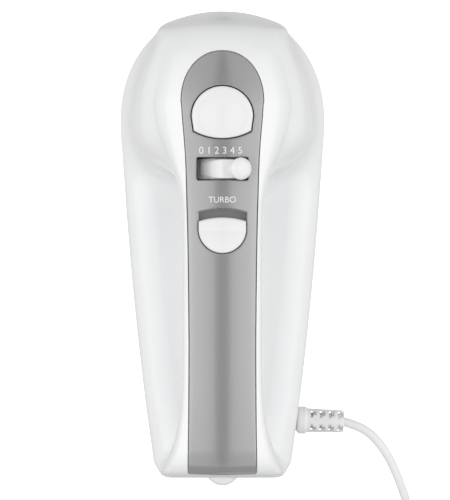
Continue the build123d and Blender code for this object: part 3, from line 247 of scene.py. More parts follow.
def finishes():
    """One material for each of the record's slots, made once."""
    prefix = "mixer_"
    if prefix + "shell_white" in bpy.data.materials:
        return {m.name[len(prefix):]: m for m in bpy.data.materials if m.name.startswith(prefix)}
    c = bpy.context.scene.mixer_colours
    shell, strip, controls, lead = tuple(c.shell), tuple(c.strip), tuple(c.controls), tuple(c.lead)
    # light, dark, roughness, metallic, coat, cell, spread, grain, bump
    rows = {
        "shell_white": (shell, shaded(shell, 0.985), 0.2, 0, 0.0, 60, 0.03, 700, 0.01),
        "grille_white": (shaded(shell, 0.96), shaded(shell, 0.93), 0.30, 0, 0.1, 60, 0.03, 700, 0.02),
        "strip_grey": (strip, shaded(strip, 0.97), 0.08, 0.4, 0.0, 900, 0.02, 2600, 0.02),
        "control_white": (controls, shaded(controls, 0.985), 0.22, 0, 0.3, 80, 0.03, 900, 0.01),
        "inner_plastic": ((0.30, 0.31, 0.33), (0.24, 0.25, 0.27), 0.5, 0, 0, 200, 0.06, 1500, 0.1),
        "gear_nylon": ((0.74, 0.70, 0.58), (0.66, 0.62, 0.50), 0.42, 0, 0, 200, 0.06, 1200, 0.06),
        "switch_black": ((0.03, 0.03, 0.032), (0.018, 0.018, 0.02), 0.45, 0, 0, 300, 0.08, 1500, 0.1),
        "steel": ((0.62, 0.62, 0.61), (0.46, 0.46, 0.46), 0.32, 1, 0, 300, 0.08, 2000, 0.05),
        "spring_steel": ((0.66, 0.66, 0.68), (0.52, 0.52, 0.54), 0.24, 1, 0, 300, 0.06, 2000, 0.03),
        "lamination": ((0.20, 0.20, 0.21), (0.11, 0.11, 0.12), 0.45, 0.8, 0, 200, 0.1, 900, 0.2),
        "copper_wire": ((0.62, 0.24, 0.11), (0.40, 0.13, 0.05), 0.34, 0.9, 0.2, 500, 0.1, 1200, 0.3),
        "bronze": ((0.56, 0.38, 0.17), (0.42, 0.27, 0.11), 0.36, 1, 0, 300, 0.08, 1500, 0.1),
        "carbon": ((0.03, 0.03, 0.03), (0.015, 0.015, 0.016), 0.6, 0, 0, 600, 0.1, 2400, 0.2),
        "board_green": ((0.03, 0.16, 0.07), (0.015, 0.09, 0.04), 0.35, 0, 0.3, 400, 0.08, 1500, 0.1),
        "wire_jacket": ((0.10, 0.16, 0.40), (0.07, 0.11, 0.30), 0.45, 0, 0, 300, 0.05, 1500, 0.05),
        "heat_sink": ((0.60, 0.60, 0.61), (0.50, 0.50, 0.52), 0.4, 1, 0, 300, 0.06, 1500, 0.1),
        "cord_white": (lead, shaded(lead, 0.97), 0.42, 0, 0, 150, 0.05, 1400, 0.05),
        "tie_grey": ((0.05, 0.05, 0.055), (0.03, 0.03, 0.033), 0.5, 0, 0, 300, 0.06, 1500, 0.1),
        "pin_nickel": ((0.66, 0.64, 0.60), (0.56, 0.54, 0.50), 0.22, 1, 0, 300, 0.06, 2000, 0.02),
    }
    return {slot: surface(prefix + slot, *row) for slot, row in rows.items()}


# ---------------------------------------------------------------- meshes from fields
def smooth_union(a, b, size):
    """a and b together, with a blend of that size between them."""
    h = np.clip(1 - np.abs(a - b) / size, 0, None)
    return np.minimum(a, b) - size * h * h / 4


def smooth_meet(a, b, size):
    """Where a and b overlap, with a rounded edge."""
    return -smooth_union(-a, -b, size)


def smooth_cut(a, b, size):
    """a without b, with a rounded edge."""
    return -smooth_union(-a, b, size)


def ease(value, start, end):
    """0 before start, 1 after end, smooth between."""
    t = np.clip((value - start) / (end - start), 0, 1)
    return t * t * (3 - 2 * t)


class Outline:
    """A closed plan outline that gives signed distances, negative inside."""

    def __init__(self, points):
        self.points = np.array(points, dtype=float)
        self.key, self.kept = None, None

    def distance(self, x, y):
        """Signed distance to the outline. The last whole grid's is kept, for the next field on it."""
        key = (np.shape(x), np.shape(y), float(np.ravel(x)[0]), float(np.ravel(y)[0]))
        if np.ndim(x) == 3 and key == self.key:
            return self.kept
        best, inside = np.full(np.broadcast(x, y).shape, 1e9), np.zeros(np.broadcast(x, y).shape, dtype=bool)
        for (ax, ay), (bx, by) in zip(self.points, np.roll(self.points, -1, axis=0)):
            ex, ey = bx - ax, by - ay
            t = np.clip(((x - ax) * ex + (y - ay) * ey) / (ex * ex + ey * ey), 0, 1)
            best = np.minimum(best, (x - ax - t * ex) ** 2 + (y - ay - t * ey) ** 2)
            if ay != by:
                crossing = ((ay > y) != (by > y)) & (x < ax + (y - ay) * ex / ey)
                inside ^= crossing
        result = np.where(inside, -1, 1) * np.sqrt(best)
        if np.ndim(x) == 3:
            self.key, self.kept = key, result
        return result


def new_object(name, mesh, slot):
    """An object with that mesh, in the finish of a record's slot."""
    piece = bpy.data.objects.new(name, mesh)
    bpy.context.collection.objects.link(piece)
    if slot:
        mesh.materials.clear()
        mesh.materials.append(finishes()[slot])
    return piece


def value_and_slope(field, points, step=0.02):
    """The field at points, and its gradient there."""
    value = field(*points.T)
    slope = np.stack([field(*(points + step * axis).T) - value for axis in np.eye(3)], axis=1) / step
    return value, slope


def field_mesh(name, field, lowest, highest, cell):
    """The zero surface of a field, as a closed mesh in metres."""
    margin, band = 2.5 * cell, 3 * cell
    lowest, highest = np.array(lowest, float) - margin, np.array(highest, float) + margin
    counts = np.ceil((highest - lowest) / cell).astype(int) + 1
    x, y, z = (lowest[i] + cell * np.arange(counts[i]) for i in range(3))
    values = field(x[:, None, None], y[None, :, None], z[None, None, :])
    values = np.broadcast_to(values, counts).astype(np.float32)
    grid = openvdb.FloatGrid(float(band))
    grid.copyFromArray(np.clip(values, -band, band))
    points, quads = grid.convertToQuads(0.0)
    points = lowest + cell * points.astype(float)
    for _ in range(2):
        value, slope = value_and_slope(field, points)
        move = np.clip(value / np.maximum((slope**2).sum(axis=1), 0.05), -cell / 2, cell / 2)
        points = points - move[:, None] * slope
    mesh = bpy.data.meshes.new(name)
    mesh.from_pydata((points * MM).tolist(), [], quads.tolist())
    mesh.update()
    return mesh


def follow_field(mesh, field, limit=28):
    """Corner normals: the field's own where a face lies along it, else the face's."""
    mesh.polygons.foreach_set("use_smooth", [True] * len(mesh.polygons))
    points = np.empty(3 * len(mesh.vertices))
    mesh.vertices.foreach_get("co", points)
    slope = value_and_slope(field, points.reshape(-1, 3) / MM)[1]
    slope /= np.maximum(np.linalg.norm(slope, axis=1, keepdims=True), 1e-6)
    corners = np.empty(len(mesh.loops), dtype=np.int32)
    mesh.loops.foreach_get("vertex_index", corners)
    sides = np.empty(len(mesh.polygons), dtype=np.int32)
    mesh.polygons.foreach_get("loop_total", sides)
    faces = np.empty(3 * len(mesh.polygons))
    mesh.polygons.foreach_get("normal", faces)
    face = np.repeat(faces.reshape(-1, 3), sides, axis=0)
    along = slope[corners]
    agree = (along * face).sum(axis=1, keepdims=True)
    close = cos(radians(limit))
    chosen = np.where(agree > close, along, np.where(agree < -close, -along, face))
    mesh.normals_split_custom_set(chosen.tolist())
    mesh.update()


def field_piece(name, field, node, slot, body, cell):
    """A visible piece made from a field, which stands in for a node and rides on a body."""
    mesh = field_mesh(name, field, low(node) - 0.5, high(node) + 0.5, cell * (1.0))
    follow_field(mesh, field)
    piece = new_object(name, mesh, slot)
    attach(piece, body)
    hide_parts(node)
    return piece


def carve(piece, cutter_mesh, operation="DIFFERENCE"):
    """Changes the piece by a closed mesh, and drops that mesh."""
    cutter = bpy.data.objects.new("cutter", cutter_mesh)
    bpy.context.collection.objects.link(cutter)
    change = piece.modifiers.new("carve", "BOOLEAN")
    change.solver, change.operation, change.object = "MANIFOLD", operation, cutter
    bpy.context.view_layer.update()
    made = bpy.data.meshes.new_from_object(piece.evaluated_get(bpy.context.evaluated_depsgraph_get()))
    old = piece.data
    piece.modifiers.clear()
    piece.data = made
    made.name = piece.name
    bpy.data.meshes.remove(old)
    bpy.data.objects.remove(cutter)
    bpy.data.meshes.remove(cutter_mesh)


def block_mesh(lowest, highest):
    """A closed block between two corners, in millimetres."""
    mesh, bm = bpy.data.meshes.new("block"), bmesh.new()
    middle = (Vector(lowest) + Vector(highest)) / 2
    span = Vector(highest) - Vector(lowest)
    place = Matrix.Translation(middle * MM) @ Matrix.Diagonal((*(span * MM), 1))
    bmesh.ops.create_cube(bm, size=1, matrix=place)
    bm.to_mesh(mesh)
    bm.free()
    return mesh


def rod_mesh(start, end, radius, sides=48):
    """A closed round rod between two points, in millimetres."""
    start, end = Vector(start), Vector(end)
    mesh, bm = bpy.data.meshes.new("rod"), bmesh.new()
    turn = (end - start).to_track_quat("Z", "Y").to_matrix().to_4x4()
    place = Matrix.Translation((start + end) / 2 * MM) @ turn
    bmesh.ops.create_cone(bm, cap_ends=True, segments=sides, radius1=radius * MM, radius2=radius * MM,
                          depth=(end - start).length * MM, matrix=place)
    bm.to_mesh(mesh)
    bm.free()
    return mesh


def spring_mesh(name, start, end, radius, wire, turns):
    """A round wire wound about the line from start to end, in millimetres."""
    start, line = np.array(start), np.array(end) - np.array(start)
    length = np.linalg.norm(line)
    axis, side = line / length, np.array((1.0, 0.0, 0.0))
    share = np.linspace(0, 1, 24 * turns + 1)[:, None]
    angle = 2 * pi * turns * share
    outward = np.cos(angle) * side + np.sin(angle) * np.cross(axis, side)
    forward = radius * 2 * pi * turns * np.cross(axis, outward) + (length - 2 * wire) * axis
    across = np.cross(forward / np.linalg.norm(forward, axis=1, keepdims=True), outward)
    centres = start + axis * (wire + (length - 2 * wire) * share) + radius * outward
    sides = 12
    rings = [centres + wire * (cos(a) * outward + sin(a) * across) for a in np.arange(sides) * 2 * pi / sides]
    points = np.stack(rings, axis=1).reshape(-1, 3)
    faces = [tuple(range(sides)), tuple(range(len(points) - 1, len(points) - sides - 1, -1))]
    for i in range(len(centres) - 1):
        for k in range(sides):
            a, b = i * sides + k, i * sides + (k + 1) % sides
            faces.append((b, a, a + sides, b + sides))
    mesh = bpy.data.meshes.new(name)
    mesh.from_pydata((points * MM).tolist(), [], faces)
    mesh.polygons.foreach_set("use_smooth", [len(face) == 4 for face in faces])
    mesh.update()
    return mesh


# ---------------------------------------------------------------- the mixer's form
def flank_half_width(y):
    """Half width of the body: it narrows towards the heel, faster the nearer it comes."""
    narrowing, straight_share = 15.2, 0.52
    t = (NOSE_Y - y) / (NOSE_Y - HEEL_Y)
    return HALF_WIDTH - narrowing * (straight_share * t + (1 - straight_share) * t * t)


def super_arc(half_x, half_y, power, steps, start=0.0, sweep=pi):
    """Points of a superellipse arc about the origin."""
    points = []
    for i in range(steps + 1):
        a = start + sweep * i / steps
        points.append((half_x * np.sign(cos(a)) * abs(cos(a)) ** (2 / power),
                       half_y * np.sign(sin(a)) * abs(sin(a)) ** (2 / power)))
    return points


def body_outline():
    """Plan of the motor body: rounded nose, narrowing flanks, square heel with round corners."""
    nose = [(x, NOSE_Y + y) for x, y in super_arc(HALF_WIDTH, NOSE_REACH, NOSE_POWER, 72)]
    corner = 8.0
    ys = np.linspace(NOSE_Y, HEEL_Y + corner, 30)[1:]
    left = [(-flank_half_width(y), y) for y in ys]
    edge = flank_half_width(HEEL_Y + corner)
    turn = np.linspace(0, pi / 2, 10)[1:]
    bend = [(-(edge - corner * (1 - cos(a))), HEEL_Y + corner * (1 - sin(a))) for a in turn]
    left += bend
    return nose + left + [(-x, y) for x, y in reversed(left)]


BODY = Outline(body_outline())


def motor_body(plan, y, z):
    """The low body: the plan outline, with a rounder upper edge near the heel."""
    sizes = bpy.context.scene.mixer_housing
    heel_extra = 3.0
    top_edge = sizes.top_edge / MM + heel_extra * ease(-y, -HEEL_Y - 35, -HEEL_Y - 8)
    edge = np.where(z > BODY_TOP / 2, top_edge, sizes.belly_edge / MM)
    up = np.abs(z - BODY_TOP / 2) - BODY_TOP / 2
    outside = np.hypot(np.maximum(plan + edge, 0), np.maximum(up + edge, 0))
    return outside + np.minimum(np.maximum(plan + edge, up + edge), 0) - edge


def scaled(norm, away):
    """A distance made from a norm that is 1 on the surface, and the distance from its middle."""
    return (norm - 1) * away / np.maximum(norm, 0.05)


def front_dome(x, y, z):
    """The dome over the gearbox, which carries the handle's front root."""
    side_tuck, nose_tuck, rear_reach, power = 3.0, 2.6, 27.0, 2.6
    rise = HANDLE_TOP - 2.4 - PARTING_Z
    dy, dz = y - NOSE_Y, np.maximum(z - PARTING_Z, 0)
    reach = np.where(dy > 0, NOSE_REACH - nose_tuck, rear_reach)
    plan = np.abs(x / (HALF_WIDTH - side_tuck)) ** NOSE_POWER + np.abs(dy / reach) ** NOSE_POWER
    norm = (plan ** (power / NOSE_POWER) + (dz / rise) ** power) ** (1 / power)
    value = scaled(norm, np.sqrt(x * x + dy * dy + dz * dz))
    return smooth_meet(value, PARTING_Z - 4 - z, 2.0)


# handle sections: place along Y, half width, underside
HANDLE_SECTIONS = [
    (NOSE_Y + 35, 27.0, 58), (NOSE_Y + 27, 28.0, 59), (NOSE_Y + 17, 29.5, 60), (NOSE_Y + 6, 31.0, 62),
    (NOSE_Y - 4, 29.0, 67), (NOSE_Y - 11, 25.5, 74), (NOSE_Y - 19, 21.8, 82), (NOSE_Y - 27, 18.8, 87.5),
    (NOSE_Y - 37, 17.3, 91.4), (NOSE_Y - 56, 17.0, 92), (HEEL_Y + 60, 17.0, 91.8), (HEEL_Y + 41, 17.2, 90),
    (HEEL_Y + 29, 18.2, 85.5), (HEEL_Y + 20, 20.0, 77), (HEEL_Y + 12.5, 22.5, 64), (HEEL_Y + 7, 25.0, 54),
    (HEEL_Y + 3, 26.5, 46),
]


def handle_table():
    """Half width and underside of the handle on a fine, smoothed line of places."""
    rows = np.array(sorted(HANDLE_SECTIONS))
    places = np.arange(rows[0, 0] - 10, rows[-1, 0] + 10, 0.5)
    ease_out = np.ones(11) / 11
    kept = []
    for column in (1, 2):
        line = np.interp(places, rows[:, 0], rows[:, column])
        for _ in range(2):
            line = np.convolve(np.pad(line, 5, mode="edge"), ease_out, mode="valid")
        kept.append(line)
    return places, kept[0], kept[1]


HANDLE_LINE = handle_table()
HANDLE_END_Y = HEEL_Y + 3.0


def handle_crest(y):
    """Height of the handle's top line."""
    nose_fall, heel_fall, crown = 44.0, 12.0, 500.0
    ahead = np.clip(y - NOSE_Y, 0, nose_fall - 1)
    front = HANDLE_TOP - nose_fall + np.sqrt(nose_fall**2 - ahead**2)
    front = front - np.maximum(y - NOSE_Y - nose_fall + 1, 0)
    late = np.clip(HANDLE_END_Y + heel_fall - y, 0, heel_fall - 0.1)
    rear = HANDLE_TOP - np.maximum(-y, 0) ** 2 / (2 * crown) - heel_fall + np.sqrt(heel_fall**2 - late**2)
    return np.where(y > NOSE_Y, front, rear)


def handle_body(x, y, z):
    """The grip: a rounded section along the crest, flatter on top."""
    places, widths, undersides = HANDLE_LINE
    half_x, underside = np.interp(y, places, widths), np.interp(y, places, undersides)
    top = handle_crest(y)
    half_z, middle = (top - underside) / 2, (top + underside) / 2
    power = 4 - ease(y, NOSE_Y - 30, NOSE_Y)
    spare = 0.8
    across, upright = np.abs(x / half_x), np.abs((z - middle - spare) / (half_z + spare))
    norm = (across**power + upright**power) ** (1 / power)
    value = scaled(norm, np.hypot(x, z - middle))
    crown_radius = 90 + 80 * ease(y, NOSE_Y - 25, NOSE_Y + 5)
    value = smooth_meet(value, z - top + x * x / (2 * crown_radius), 2.5)
    value = smooth_meet(value, HANDLE_END_Y - y, 2.0)
    return smooth_meet(value, y - (NOSE_Y + 40), 2.0)


def mixer_form(x, y, z):
    """The whole outer skin: body, dome and handle, blended."""
    blend = bpy.context.scene.mixer_housing.root_blend / MM
    plan = BODY.distance(x, y)
    body = np.maximum(smooth_union(motor_body(plan, y, z), front_dome(x, y, z), DOME_BLEND), plan)
    crest_blend = 1.5
    size = blend + (crest_blend - blend) * ease(z, HANDLE_TOP - 26, HANDLE_TOP - 10)
    return smooth_union(body, handle_body(x, y, z), size)


def skin_height(x, y):
    """Height of the handle's top skin at points in plan."""
    z = handle_crest(y) + 0.0 * x
    for _ in range(12):
        value = mixer_form(x, y, z)
        slope = (mixer_form(x, y, z + 0.05) - mixer_form(x, y, z - 0.05)) / 0.1
        z = z - np.clip(value / np.maximum(slope, 0.2), -2, 2)
    return z


# ---------------------------------------------------------------- strip and controls in plan
def strip_outline():
    """Plan of the grey strip: an arch over the nose, a waist along the grip, a little wider at the heel."""
    arch = [(x, NOSE_Y + 7.3 + y) for x, y in super_arc(17.4, 22.0, 2.1, 48)]
    stations = [(NOSE_Y + 7.3, 17.4), (NOSE_Y - 15, 15.4), (NOSE_Y - 55, 14.4), (HEEL_Y + 60, 14.0),
                (HEEL_Y + 26, 14.2), (HEEL_Y + 3.4, 14.6)]
    ys, widths = np.array([s[0] for s in stations])[::-1], np.array([s[1] for s in stations])[::-1]
    line = np.arange(ys[0], ys[-1], 2.0)
    shape = np.interp(line, ys, widths)
    shape = np.convolve(np.pad(shape, 4, mode="edge"), np.ones(9) / 9, mode="valid")
    left = [(-w, y) for y, w in zip(line, shape)]
    return arch + left[::-1] + [(-x, y) for x, y in left]


def arc_through(start, middle, end, steps=24):
    """Points of the arc through three points."""
    (ax, ay), (bx, by), (cx, cy) = start, middle, end
    d = 2 * (ax * (by - cy) + bx * (cy - ay) + cx * (ay - by))
    ux = ((ax**2 + ay**2) * (by - cy) + (bx**2 + by**2) * (cy - ay) + (cx**2 + cy**2) * (ay - by)) / d
    uy = ((ax**2 + ay**2) * (cx - bx) + (bx**2 + by**2) * (ax - cx) + (cx**2 + cy**2) * (bx - ax)) / d
    radius = hypot(ax - ux, ay - uy)
    first, mid, last = (atan2(p[1] - uy, p[0] - ux) for p in (start, middle, end))
    sweep = (last - first) % (2 * pi)
    if (mid - first) % (2 * pi) > sweep:
        sweep -= 2 * pi
    return [(ux + radius * cos(first + sweep * i / steps), uy + radius * sin(first + sweep * i / steps))
            for i in range(steps + 1)]


def button_outline():
    """Plan of the eject button: a round front and a flatter rear edge."""
    radius, middle, rear_reach = 13.4, BUTTON_Y - 1.3, 9.6
    corner = (radius - 0.9, middle - 6.3)
    arch = arc_through((radius, middle), (0, middle + radius), (-radius, middle), 48)
    rear = arc_through((-corner[0], corner[1]), (0, middle - rear_reach), corner, 24)
    return arch + rear


def turbo_outline(radius, front):
    """Plan of the turbo slider or of its pocket: a round rear and a slightly arched front."""
    rear = arc_through((-radius, TURBO_Y), (0, TURBO_Y - radius), (radius, TURBO_Y), 40)
    arch = arc_through((radius, TURBO_Y + front), (0, TURBO_Y + front + 1.6), (-radius, TURBO_Y + front), 20)
    return rear + arch


STRIP = Outline(strip_outline())
BUTTON = Outline(button_outline())
POCKET = Outline(turbo_outline(SLIDER_RADIUS + 0.3, 7.3))
SLIDER = Outline(turbo_outline(SLIDER_RADIUS, 3.5))


def window(x, y, half_x, half_y, middle_y, corner):
    """Distance to a rounded rectangular window in plan."""
    dx, dy = np.abs(x) - half_x + corner, np.abs(y - middle_y) - half_y + corner
    return np.hypot(np.maximum(dx, 0), np.maximum(dy, 0)) + np.minimum(np.maximum(dx, dy), 0) - corner


# ---------------------------------------------------------------- fields of the pieces
def strip_field(x, y, z):
    """The strip's shell with its openings, and the tub that the slider runs in."""
    sizes = bpy.context.scene.mixer_strip
    rim = sizes.rim / MM
    skin = mixer_form(x, y, z)
    band = smooth_meet(skin, -skin - sizes.thickness / MM, 0.3)
    plate = smooth_meet(band, STRIP.distance(x, y), rim)
    floor_z, tub_wall, tub_floor = HANDLE_TOP - 4.2, 1.0, 1.2
    tub = np.maximum(POCKET.distance(x, y) - tub_wall, np.maximum(floor_z - tub_floor - z, skin + 0.4))
    plate = smooth_union(plate, tub, 0.4)
    plate = smooth_cut(plate, BUTTON.distance(x, y), 0.5)
    plate = smooth_cut(plate, window(x, y, SLOT_HALF_WIDTH, SLOT_HALF_LENGTH, DRUM_Y, 0.9), 0.5)
    pocket = np.maximum(POCKET.distance(x, y), floor_z - z)
    plate = smooth_cut(plate, pocket, 0.5)
    stem_slot = window(x, y, 3.4, 4.5, TURBO_Y + 0.3, 0.4)
    plate = np.maximum(plate, -stem_slot)
    return np.maximum(plate, HANDLE_TOP - 18.5 - z)


def button_field(x, y, z):
    """The eject button: a dished cap with a skirt, on a bored post with a flange."""
    sizes = bpy.context.scene.mixer_controls
    gap, skirt_wall = 0.42, 1.8
    plan = BUTTON.distance(x, y) + gap
    top = mixer_form(x, y, z - sizes.button_proud / MM)
    cap = smooth_meet(plan, top, 1.6)
    cap = smooth_meet(cap, HANDLE_TOP - 10 - z, 0.3)
    dish, depth = sizes.dish_radius / MM, sizes.dish_depth / MM
    ball = (dish**2 + depth**2) / (2 * depth)
    centre_z = HANDLE_TOP + sizes.button_proud / MM + ball - depth
    hollow = np.sqrt(x**2 + (y - BUTTON_Y) ** 2 + (z - centre_z) ** 2) - ball
    cap = smooth_cut(cap, hollow, 1.2)
    inside = np.maximum(plan + skirt_wall, z - (HANDLE_TOP - 4.5))
    cap = np.maximum(cap, -inside)
    around = np.hypot(x, y - BUTTON_Y)
    post_radius, flange_radius, bore_radius, post_depth = 4.3, 6.6, 3.0, 14
    post = np.maximum(around - post_radius, np.maximum(HANDLE_TOP - post_depth - z, z - (HANDLE_TOP - 4)))
    flange = np.maximum(around - flange_radius, np.abs(z - (HANDLE_TOP - post_depth + 1)) - 1)
    cap = np.minimum(cap, np.minimum(post, flange))
    bore = np.maximum(around - bore_radius, z - (HANDLE_TOP - 6.1))
    return np.maximum(cap, -bore)


def turned(x, z, angle):
    """x and z about the drum's axis, turned so that the knob points up."""
    dx, dz = x, z - DRUM_Z
    return dx * cos(angle) - dz * sin(angle), dx * sin(angle) + dz * cos(angle)


def dial_field(x, y, z):
    """The speed drum on its axle, with a raised shoe behind the knob's neck."""
    sizes = bpy.context.scene.mixer_controls
    across, up = turned(x, z, sizes.rest_angle)
    dy = y - DRUM_Y
    around = np.hypot(across, up)
    drum = smooth_meet(around - DRUM_RADIUS, np.abs(dy) - DRUM_HALF_LENGTH, 0.8)
    axle = np.maximum(around - 2.5, np.abs(dy) - DRUM_HALF_LENGTH - 3.4)
    r, half_height, knob_reach = sizes.knob_radius / MM, 2.6, 20.0
    knob = np.sqrt((across / r) ** 2 + (dy / r) ** 2 + ((up - knob_reach) / half_height) ** 2)
    knob = (knob - 1) * half_height
    neck = np.maximum(np.hypot(across, dy) - 2.8, np.maximum(up - 19, 8 - up))
    shoe_rise = 2.6 * ease(across, -11.0, -5.5)
    shoe_half_length = 2.6 + 1.5 * ease(across, -11, -8)
    shoe = smooth_meet(around - DRUM_RADIUS - shoe_rise, np.abs(dy) - shoe_half_length, 1.0)
    shoe = smooth_meet(shoe, across - 1.5, 1.5)
    shoe = np.maximum(shoe, np.maximum(-across - 12, 5 - up))
    body = smooth_union(drum, axle, 0.4)
    body = smooth_union(body, shoe, 1.5)
    body = smooth_union(body, neck, 1.6)
    return smooth_union(body, knob, 1.0)


def slider_field(x, y, z):
    """The turbo slider: a cap that rises to a ridge near its front, on a stem."""
    floor_z = HANDLE_TOP - 4.0
    ridge_y, ridge_z, low_z = TURBO_Y - 0.6, HANDLE_TOP + 2.2, HANDLE_TOP + 0.2
    behind = low_z + (ridge_z - low_z) * (np.clip((y - (TURBO_Y - 10.5)) / 9.9, 0, 1)) ** 1.8
    ahead = ridge_z - (ridge_z - low_z - 0.3) * (np.clip((y - ridge_y) / 6.0, 0, 1)) ** 1.5
    crown = 0.012 * x * x
    top = np.where(y < ridge_y, behind, ahead) - crown
    plan = SLIDER.distance(x, y)
    button = smooth_meet(plan, (z - top) * 0.9, 1.3)
    button = np.maximum(button, floor_z - z)
    stem = np.maximum(np.abs(x) - 3.0, np.maximum(np.abs(y - (TURBO_Y - 1.8)) - 2.4,
                                                  np.maximum(HANDLE_TOP - 21.5 - z, z - floor_z - 1)))
    return np.minimum(button, stem)


RELIEF_TILT = radians(-2)


def relief_axes(x, y, z):
    """Distance along the strain relief's axis from the flank, and across it in two directions."""
    dx, dy = x - flank_half_width(RELIEF_Y), y - RELIEF_Y
    along = dx * cos(RELIEF_TILT) + dy * sin(RELIEF_TILT)
    side = -dx * sin(RELIEF_TILT) + dy * cos(RELIEF_TILT)
    return along, side, z - PARTING_Z


def relief_field(x, y, z):
    """The slotted sleeve with its collar outside the housing, and a neck and flange inside it."""
    along, side, up = relief_axes(x, y, z)
    around = np.hypot(side, up)
    sleeve_radius = 5.3 - 0.024 * np.clip(along - 4.4, 0, 20)
    sleeve = smooth_meet(around - sleeve_radius, np.abs(along - 10.4) - 10.45, 0.9)
    collar = smooth_meet(around - 6.0, np.abs(along - 2.4) - 2.0, 1.2)
    neck = np.maximum(around - 4.6, np.abs(along + 1.6) - 2.3)
    flange = smooth_meet(around - 6.3, np.abs(along + 4.7) - 0.9, 0.4)
    body = np.minimum(smooth_union(sleeve, collar, 0.5), np.minimum(neck, flange))
    slot_pitch, slot_rows = 4.0, 4
    for i in range(slot_rows):
        centre = 6.6 + slot_pitch * i
        for offset, across in ((0.0, side), (1.3, up)):
            slot = np.maximum(np.abs(along - centre - offset) - 0.5, np.abs(np.abs(across) - 2.9) - 1.3)
            slot = np.maximum(slot, 3.4 - around)
            body = smooth_cut(body, slot, 0.5)
    bore = np.maximum(around - 2.05, along - 3)
    return np.maximum(body, -bore)


def grille_field(x, y, z):
    """Seven upright ribs standing out of the nose, with a slot in every valley."""
    lowest, highest = low("front_grille"), high("front_grille")
    plan = BODY.distance(x, y)
    inset, wall, ribs_aside = 0.6, 2.6, 3
    body = np.maximum(plan + inset, -plan - wall)
    for i in range(-ribs_aside, ribs_aside + 1):
        place = i * RIB_PITCH
        front = NOSE_Y + NOSE_REACH * (1 - abs(place / HALF_WIDTH) ** NOSE_POWER) ** (1 / NOSE_POWER)
        rib = np.hypot(x - place, y - front - NOSE_STAND + RIB_RADIUS) - RIB_RADIUS
        body = smooth_union(body, np.maximum(rib, -plan - wall), 0.8)
    body = smooth_meet(body, np.abs(z - (lowest[2] + highest[2]) / 2) - (highest[2] - lowest[2]) / 2, 1.0)
    body = smooth_meet(body, np.abs(x) - highest[0], 0.5)
    valley = np.abs(np.mod(x, RIB_PITCH) - RIB_PITCH / 2) - 0.8
    slot = np.maximum(valley, np.maximum(np.abs(x) - ribs_aside * RIB_PITCH, np.abs(z - 30.4) - 7.8))
    return smooth_cut(body, slot, 0.4)


def plug_field(x, y, z):
    """A flat moulded plug that swells from the lead, with finger ridges on both faces."""
    lowest, highest = low("plug_body"), high("plug_body")
    middle, half = (lowest + highest) / 2, (highest - lowest) / 2
    along = highest[0] - x
    half_y = np.interp(along, (0, 5, 16.2, 36), (3.9, 6.2, half[1] - 0.1, half[1] - 0.5))
    half_z = np.interp(along, (0, 9, 36), (4.4, half[2] - 0.1, half[2] - 0.1))
    dy, dz = y - middle[1], z - middle[2]
    norm = (np.abs(dy / half_y) ** 3.2 + np.abs(dz / half_z) ** 3.2) ** (1 / 3.2)
    ridge_height, ridge_pitch = 0.35, 3.2
    ridges = ridge_height * (0.5 + 0.5 * np.cos(2 * pi * along / ridge_pitch))
    ridges = ridges * ease(along, 10, 13) * (1 - ease(along, 26, 29))
    value = scaled(norm, np.hypot(dy, dz)) + ridge_height - ridges
    return smooth_meet(value, np.abs(x - middle[0]) - half[0], 1.8)


def pins_field(x, y, z):
    """Two round pins with a sleeved root and a rounded tip."""
    lowest, highest = low("plug_pins"), high("plug_pins")
    middle = (lowest + highest) / 2
    sleeve_radius, sleeve_length = 2.0, 10.0
    across = np.abs(y - middle[1]) - (highest[1] - lowest[1]) / 2 + sleeve_radius
    around = np.hypot(across, z - middle[2])
    radius = sleeve_radius - 0.12 * ease(highest[0] - x, sleeve_length - 0.2, sleeve_length + 0.2)
    return smooth_meet(around - radius, np.abs(x - middle[0]) - (highest[0] - lowest[0]) / 2, 1.6)


def tie_field(x, y, z):
    """A flat band round the coil's cords, across the coil at 45 degrees."""
    lowest, highest = low("cord_tie"), high("cord_tie")
    middle = (lowest + highest) / 2
    dx, dy, dz = x - middle[0], y - middle[1], z - middle[2]
    across, along = (dx + dy) * cos(pi / 4), (dy - dx) * cos(pi / 4)
    half_z = (highest[2] - lowest[2]) / 2
    half_x = (highest[0] - lowest[0]) / 2 / cos(pi / 4) - TIE_WIDTH / 2
    bend = 1.2
    past_x, past_z = np.abs(across) - half_x + bend, np.abs(dz) - half_z + bend
    corner = np.hypot(np.maximum(past_x, 0), np.maximum(past_z, 0))
    inner = np.maximum(np.abs(across) - half_x, np.abs(dz) - half_z)
    ring = np.where(corner > 0, corner - bend, np.minimum(inner, -0.01))
    band = np.maximum(ring, -inner - 0.55)
    return smooth_meet(band, np.abs(along) - TIE_WIDTH / 2, 0.3)


# ---------------------------------------------------------------- lead
CORD_POINTS = [
    (53.4, -76.5, 42.0), (59.7, -78.3, 42.0), (65.3, -81.6, 41.5), (69.9, -86.5, 40.4),
    (74.2, -93.0, 38.0), (78.4, -102.1, 33.6), (82.9, -114.3, 26.0), (87.2, -130.3, 14.8),
    (89.7, -148.2, 6.2), (89.1, -165.9, 3.1), (85.9, -182.6, 3.1),
]


def coil_centre():
    """Middle of the coil in plan, as the frame has it."""
    middle = (np.array(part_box("cord_coil")[0]) + np.array(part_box("cord_coil")[1])) / 2 / MM
    return middle[0], middle[1]


